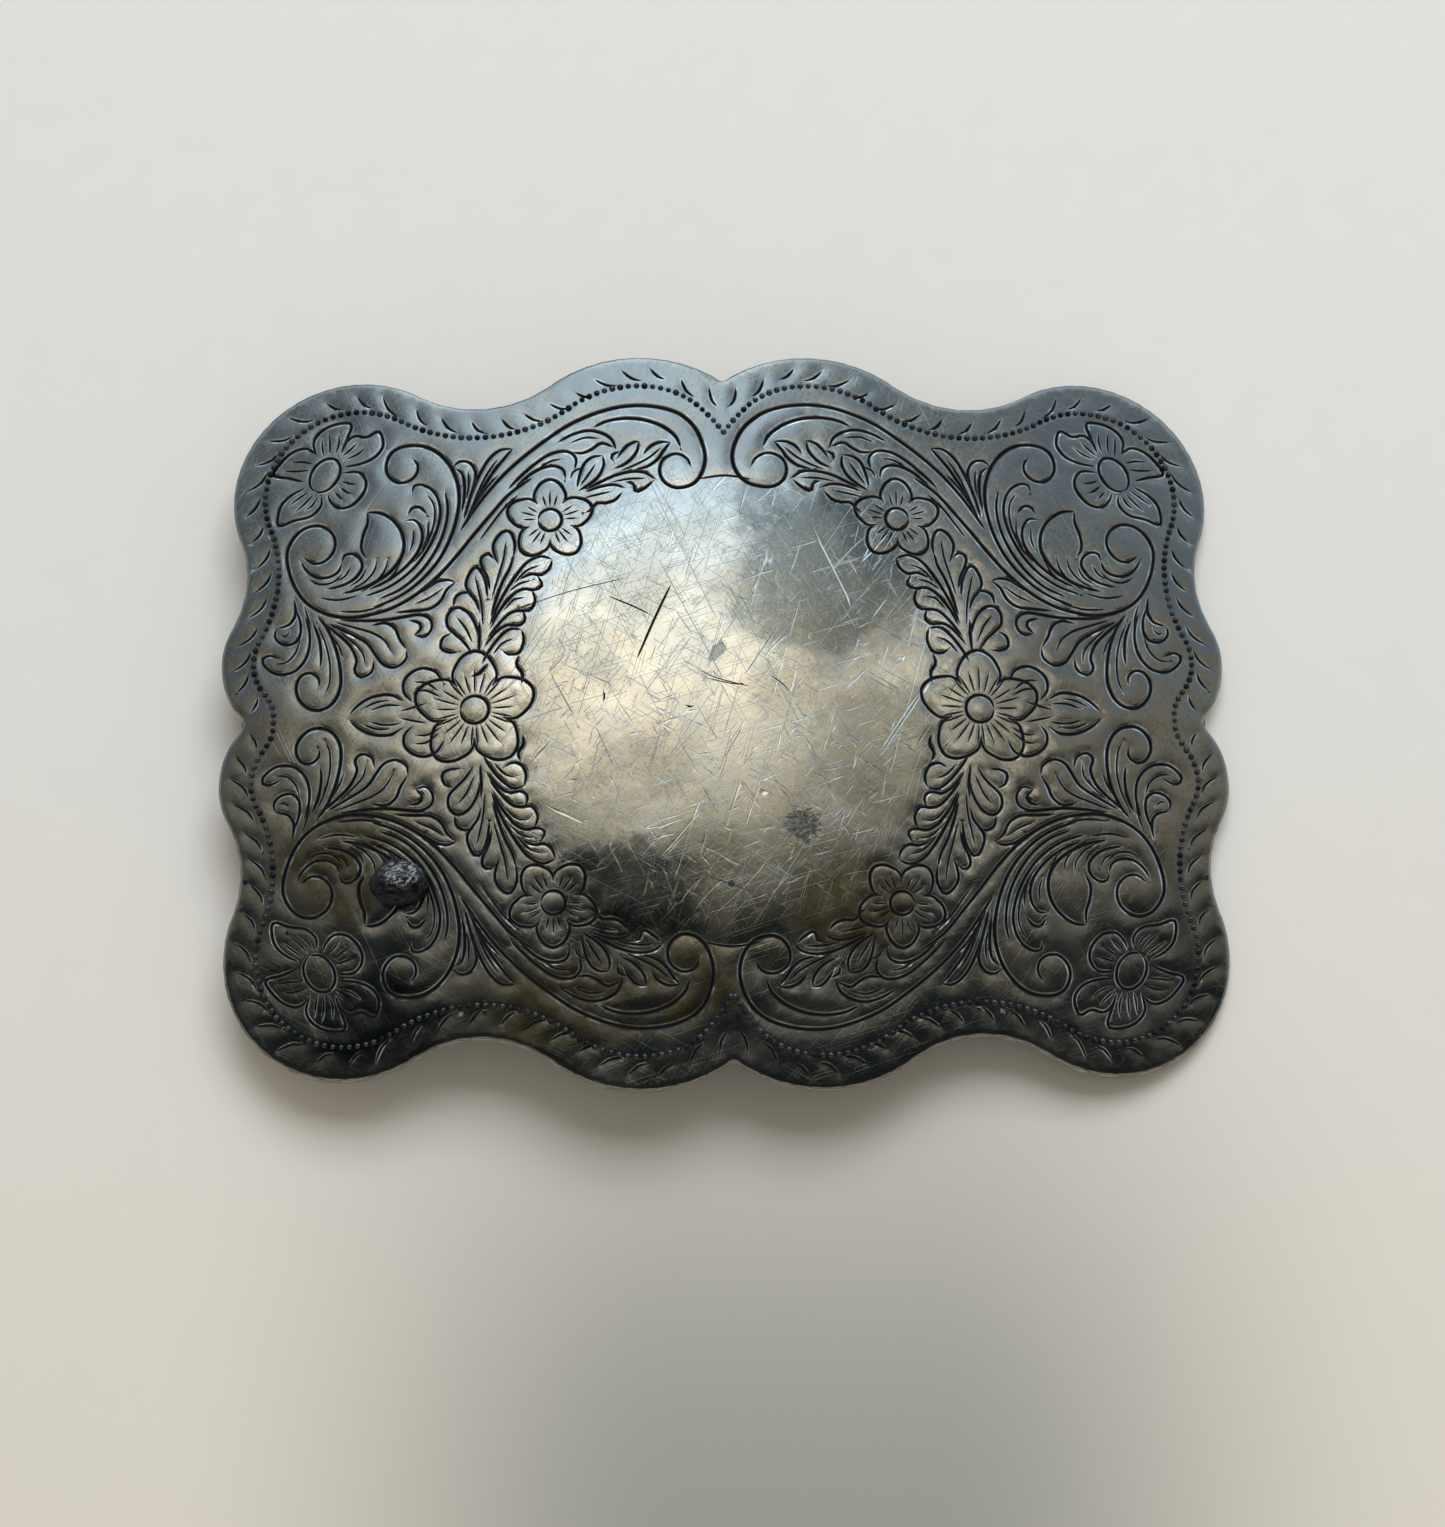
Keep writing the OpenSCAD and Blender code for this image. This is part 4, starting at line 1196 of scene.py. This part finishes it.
def round_cornered(x, size, corner):
    """A round-cornered rectangle about a place on the middle line, as points 0.3 mm apart or so."""
    half_x, half_y = size[0] / 2 - corner, size[1] / 2 - corner
    loop = []
    for k, (sx, sy) in enumerate(((1, 1), (-1, 1), (-1, -1), (1, -1))):
        for j in range(7):
            a = math.pi / 2 * (k + j / 6)
            loop.append((x + sx * half_x + corner * math.cos(a), sy * half_y + corner * math.sin(a)))
    return evenly(loop, 0.33)


def evenly(loop, spacing):
    """A closed loop of points, evenly spaced."""
    p = np.array(loop + loop[:1])
    run = np.r_[0, np.cumsum(np.hypot(*np.diff(p, axis=0).T))]
    s = np.linspace(0, run[-1], int(run[-1] / spacing) + 1)[:-1]
    return np.c_[np.interp(s, run, p[:, 0]), np.interp(s, run, p[:, 1])]


def flowed_bead(name, loop, under, size, seed, material, node):
    """An uneven bead of solder or braze run round an edge, under a layer of the dished sheet."""
    onward = np.roll(loop, -1, axis=0) - np.roll(loop, 1, axis=0)
    onward /= np.hypot(*onward.T)[:, None]
    outward = np.c_[onward[:, 1], -onward[:, 0]]
    sides = 12
    bead_verts = []
    for (x, y), (ox, oy) in zip(loop, outward):
        spot_here = Vector((x, y, seed))
        swell = size * (1 + 0.42 * noise_at(spot_here * 0.55) + 0.16 * noise_at(spot_here * 2.1))
        z = CROWN_Z - face_drop(x, y) - under - 0.25 * swell
        for k in range(sides):
            a = 2 * math.pi * k / sides
            reach = 0.25 * swell + swell * math.cos(a)
            low_z = z - 0.72 * swell * math.sin(a)
            bead_verts.append(((x + ox * reach) * MM, (y + oy * reach) * MM, low_z * MM))
    count = len(loop)
    bead_faces = []
    for i in range(count):
        for k in range(sides):
            a, b = i * sides + k, i * sides + (k + 1) % sides
            c, d = (i + 1) % count * sides + (k + 1) % sides, (i + 1) % count * sides + k
            bead_faces.append((a, b, c, d))
    mesh = bpy.data.meshes.new(name)
    mesh.from_pydata(bead_verts, [], bead_faces)
    form = bmesh.new()
    form.from_mesh(mesh)
    bmesh.ops.recalc_face_normals(form, faces=form.faces)
    form.to_mesh(mesh)
    form.free()
    mesh.shade_smooth()
    mesh.materials.append(material)
    piece = add_object(name, mesh)
    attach(piece, "buckle")
    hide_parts(node)


strap_edge = round_cornered(HINGE_X, STRAP_SIZE, STRAP_CORNER)
flowed_bead("strap_solder_run", strap_edge, PLATE_T, SOLDER_R, 2.0, soft_solder, "strap_solder")


# ---- The hinge barrel, its braze and the hook
# A drawn tube on a foot, and a turned disc with a short bent prong: bright nickel silver once,
# now satin, with brassy silver braze run along the foot.
satin, tree, shader, place = new_material("satin_fitting")
cloud = use_group(tree, tarnish, Place=place, Patch_size=3.0, Share=0.45)
mark = use_group(tree, scratches, Place=place, Width=1.1, Share=0.5)
turned = noise(tree, cells(tree, place, (0.10, 6, 0.10)), 1.0, 2.0)
colour = layered(tree, tint(tree, turned, (0.46, 0.445, 0.40, 1), (0.56, 0.54, 0.49, 1)), (
    (cloud["Cloud"], 0.6, (0.25, 0.22, 0.16, 1)),
    (cloud["Speckle"], 0.3, (0.08, 0.07, 0.055, 1)),
    (mark["Marks"], 0.4, (0.74, 0.72, 0.66, 1))))
height = maths(tree, "SUBTRACT", times(tree, turned, 0.3), times(tree, mark["Marks"], 0.5))
dress(tree, shader, colour, between(tree, turned, 0.3, 0.7, 0.24, 0.38), 1.0, height, 0.35, 0.00005)

hard_braze = melted("silver_braze", 0.9, 0.6, 1.5, (0.38, 0.29, 0.14, 1), (0.60, 0.50, 0.28, 1),
                    (0.10, 0.075, 0.05, 1), (0.30, 0.5), 0.00012)

FOOT_SIZE = (5.6, 26.0)
FOOT_CORNER = 0.2
BRAZE_R = 0.30
foot_edge = round_cornered(HINGE_X, FOOT_SIZE, FOOT_CORNER)
under_strap = PLATE_T + FILM_T + STRAP_T
flowed_bead("barrel_braze_run", foot_edge, under_strap, BRAZE_R, 5.0, hard_braze, "barrel_braze")

HOOK_BASE_D = 9.0
hook_edge = []
for k in range(96):
    a = 2 * math.pi * k / 96
    hook_edge.append((HOOK_X + HOOK_BASE_D / 2 * math.cos(a), HOOK_BASE_D / 2 * math.sin(a)))
hook_edge = evenly(hook_edge, 0.3)
flowed_bead("hook_solder_run", hook_edge, PLATE_T, SOLDER_R, 9.0, soft_solder, "hook_solder")


# ---- The wire bail
# One length of hard drawn wire, nickel plated, bent to a D and sprung into the barrel. The belt
# has rubbed the plate thin on the long bar, and the bends show fine drawing lines.
wire_plate, tree, shader, place = new_material("rubbed_wire")
drawn_lines = noise(tree, cells(tree, place, (3.0, 3.0, 0.15)), 1.0, 3.0)
cloud = use_group(tree, tarnish, Place=place, Patch_size=4.0, Share=0.4)
mark = use_group(tree, scratches, Place=place, Width=1.0, Share=0.6)
rubbed_through = times(tree, spot(tree, place, 29.0, 0.0, 16, 6, 1.0), 0.55)
colour = tint(tree, drawn_lines, (0.54, 0.53, 0.505, 1), (0.64, 0.63, 0.60, 1))
colour = layered(tree, tint(tree, rubbed_through, colour, (0.56, 0.46, 0.30, 1)), (
    (cloud["Cloud"], 0.45, (0.26, 0.235, 0.19, 1)),
    (cloud["Speckle"], 0.25, (0.07, 0.06, 0.05, 1)),
    (mark["Marks"], 0.4, (0.80, 0.78, 0.74, 1))))
height = maths(tree, "SUBTRACT", times(tree, drawn_lines, 0.3), times(tree, mark["Marks"], 0.5))
dress(tree, shader, colour, between(tree, cloud["Cloud"], 0.0, 1.0, 0.20, 0.36), 1.0, height, 0.35, 0.00005)

# The strap, barrel, disc, prong and bail keep their modelled shapes and get their finishes here
NODE_FINISH = {"hinge_strap": back_metal, "hinge_barrel": satin, "hook_base": satin, "hook_prong": satin,
               "bail": wire_plate}
for name, finish in NODE_FINISH.items():
    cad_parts[name].data.materials.clear()
    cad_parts[name].data.materials.append(finish)


# ---- Floor and light
# Pale paper, tilted because the buckle leans on its prong's tip and the bail's bar, coloured warmer towards
# the bottom, with a painted shadow: a darker band below its lower edge. One soft panel lights it, in a room
# that is bright overhead and dark round about.
FLOOR_HALF = 3
FLOOR_RISE = 2.44
FLOOR_RUN = 51.3
FLOOR_TOUCH_X = -0.0223
floor_corners = [(x * FLOOR_HALF, y * FLOOR_HALF, 0) for x, y in ((-1, -1), (1, -1), (1, 1), (-1, 1))]
floor_mesh = bpy.data.meshes.new("floor")
floor_mesh.from_pydata(floor_corners, [], [(0, 1, 2, 3)])
floor = add_object("floor", floor_mesh)
floor_material, tree, shader, place = new_material("pale_floor")
grain = noise(tree, place, 260.0, 5.0)
paper = tint(tree, grain, (0.765, 0.76, 0.75, 1), (0.80, 0.795, 0.785, 1))
sides = tree.nodes.new("ShaderNodeSeparateXYZ")
tree.links.new(place, sides.inputs[0])
paper = tint(tree, between(tree, sides.outputs["Y"], -0.09, 0.02, 0.8, 0.0), paper, (0.79, 0.735, 0.655, 1))
# Painted shadow: a darker band on the paper below the buckle's lower edge
off_middle = maths(tree, "ABSOLUTE", maths(tree, "SUBTRACT", sides.outputs["X"], 0.028))
below = between(tree, sides.outputs["Y"], -0.070, -0.006, 1.0, 0.0)
shade = times(tree, between(tree, off_middle, 0.010, 0.056, 1.0, 0.0), below)
paper = layered(tree, paper, ((shade, 0.95, (0.345, 0.35, 0.325, 1)),))
feed(tree, shader.inputs["Base Color"], paper)
shader.inputs["Roughness"].default_value = 0.75
floor_mesh.materials.append(floor_material)
floor_tilt = math.atan2(FLOOR_RISE, FLOOR_RUN)
floor.matrix_world = Matrix.Translation((FLOOR_TOUCH_X, 0, 0)) @ Matrix.Rotation(-floor_tilt, 4, "Y")


def panel(name, direction, distance, size, power, colour):
    """A soft light panel that faces the buckle from a direction and isn't mirrored in it."""
    light = bpy.data.lights.new(name, "AREA")
    light.shape = "RECTANGLE"
    light.size, light.size_y = size
    light.energy = power
    light.color = colour
    stand = add_object(name, light)
    away = Vector(direction).normalized()
    stand.location = CROWN + away * distance
    stand.rotation_euler = away.to_track_quat("Z", "Y").to_euler()
    stand.visible_glossy = False


panel("key_panel", (0.10, 0.62, 1.0), 0.8, (0.6, 0.5), 4.6, (0.92, 0.965, 1.0))

# The room: evenly pale on the floor, and in the metal a soft bright ceiling patch over a dark room
PATCH_SHINE = 1.65
FLOOR_SHINE = 0.43
room = bpy.data.worlds.new("room")
room.use_nodes = True
tree = room.node_tree
facing = tree.nodes.new("ShaderNodeTexCoord").outputs["Generated"]
parts = tree.nodes.new("ShaderNodeSeparateXYZ")
tree.links.new(facing, parts.inputs[0])
up = maths(tree, "MAXIMUM", parts.outputs["Z"], 0.02)
lean_x = maths(tree, "DIVIDE", parts.outputs["X"], up)
lean_y = maths(tree, "DIVIDE", parts.outputs["Y"], up)
rise = between(tree, lean_y, 0.16, 0.37)
left = between(tree, lean_x, -0.56, -0.14)
right = between(tree, lean_x, 0.06, 0.22, 1.0, 0.10)
ceiling_patch = times(tree, rise, left, right)
side_patch = times(tree, between(tree, lean_x, 0.22, 0.29), between(tree, lean_x, 0.38, 0.46, 1.0, 0.0),
                   between(tree, lean_y, 0.22, 0.28), between(tree, lean_y, 0.38, 0.46, 1.0, 0.0), 0.7)
dusk = between(tree, lean_y, 0.10, 0.26, 0.032, 0.27)
height_up = between(tree, parts.outputs["Z"], 0.02, 0.62, 0.05, 1.0)
far_walls = largest(tree, [between(tree, lean_y, 0.62, 1.5, 0.0, 1.1),
                           between(tree, lean_y, -1.6, -0.35, 0.65, 0.0),
                           between(tree, maths(tree, "ABSOLUTE", lean_x), 1.1, 2.2, 0.0, 0.8)])
patches = times(tree, largest(tree, [ceiling_patch, side_patch]), PATCH_SHINE)
shine = maths(tree, "ADD", patches, maths(tree, "ADD", dusk, times(tree, far_walls, height_up)))
ceiling = tint(tree, between(tree, lean_y, 0.37, 0.50), (1.0, 0.95, 0.81, 1), (0.66, 0.88, 1.14, 1))
cold = times(tree, between(tree, lean_y, -0.25, -0.05), between(tree, lean_y, 0.08, 0.24, 1.0, 0.0))
ceiling = tint(tree, cold, ceiling, (0.52, 0.84, 1.12, 1))
ceiling = tint(tree, between(tree, lean_y, -0.5, -0.2, 1.0, 0.0), ceiling, (1.0, 0.985, 0.96, 1))
mirror = tree.nodes.new("ShaderNodeBackground")
feed(tree, mirror.inputs["Color"], ceiling)
under_room = between(tree, parts.outputs["Z"], -0.9, -0.1, 0.75, 0.18)
above_floor = between(tree, parts.outputs["Z"], -0.06, 0.0)
feed(tree, mirror.inputs["Strength"], tint(tree, above_floor, under_room, shine))
pale = tree.nodes.new("ShaderNodeBackground")
pale.inputs["Color"].default_value = (1.0, 0.93, 0.79, 1)
pale.inputs["Strength"].default_value = FLOOR_SHINE
choose = tree.nodes.new("ShaderNodeMixShader")
tree.links.new(tree.nodes.new("ShaderNodeLightPath").outputs["Is Glossy Ray"], choose.inputs[0])
tree.links.new(pale.outputs[0], choose.inputs[1])
tree.links.new(mirror.outputs[0], choose.inputs[2])
tree.links.new(choose.outputs[0], tree.nodes["World Output"].inputs["Surface"])
bpy.context.scene.world = room
bpy.context.scene.view_settings.view_transform = "Standard"
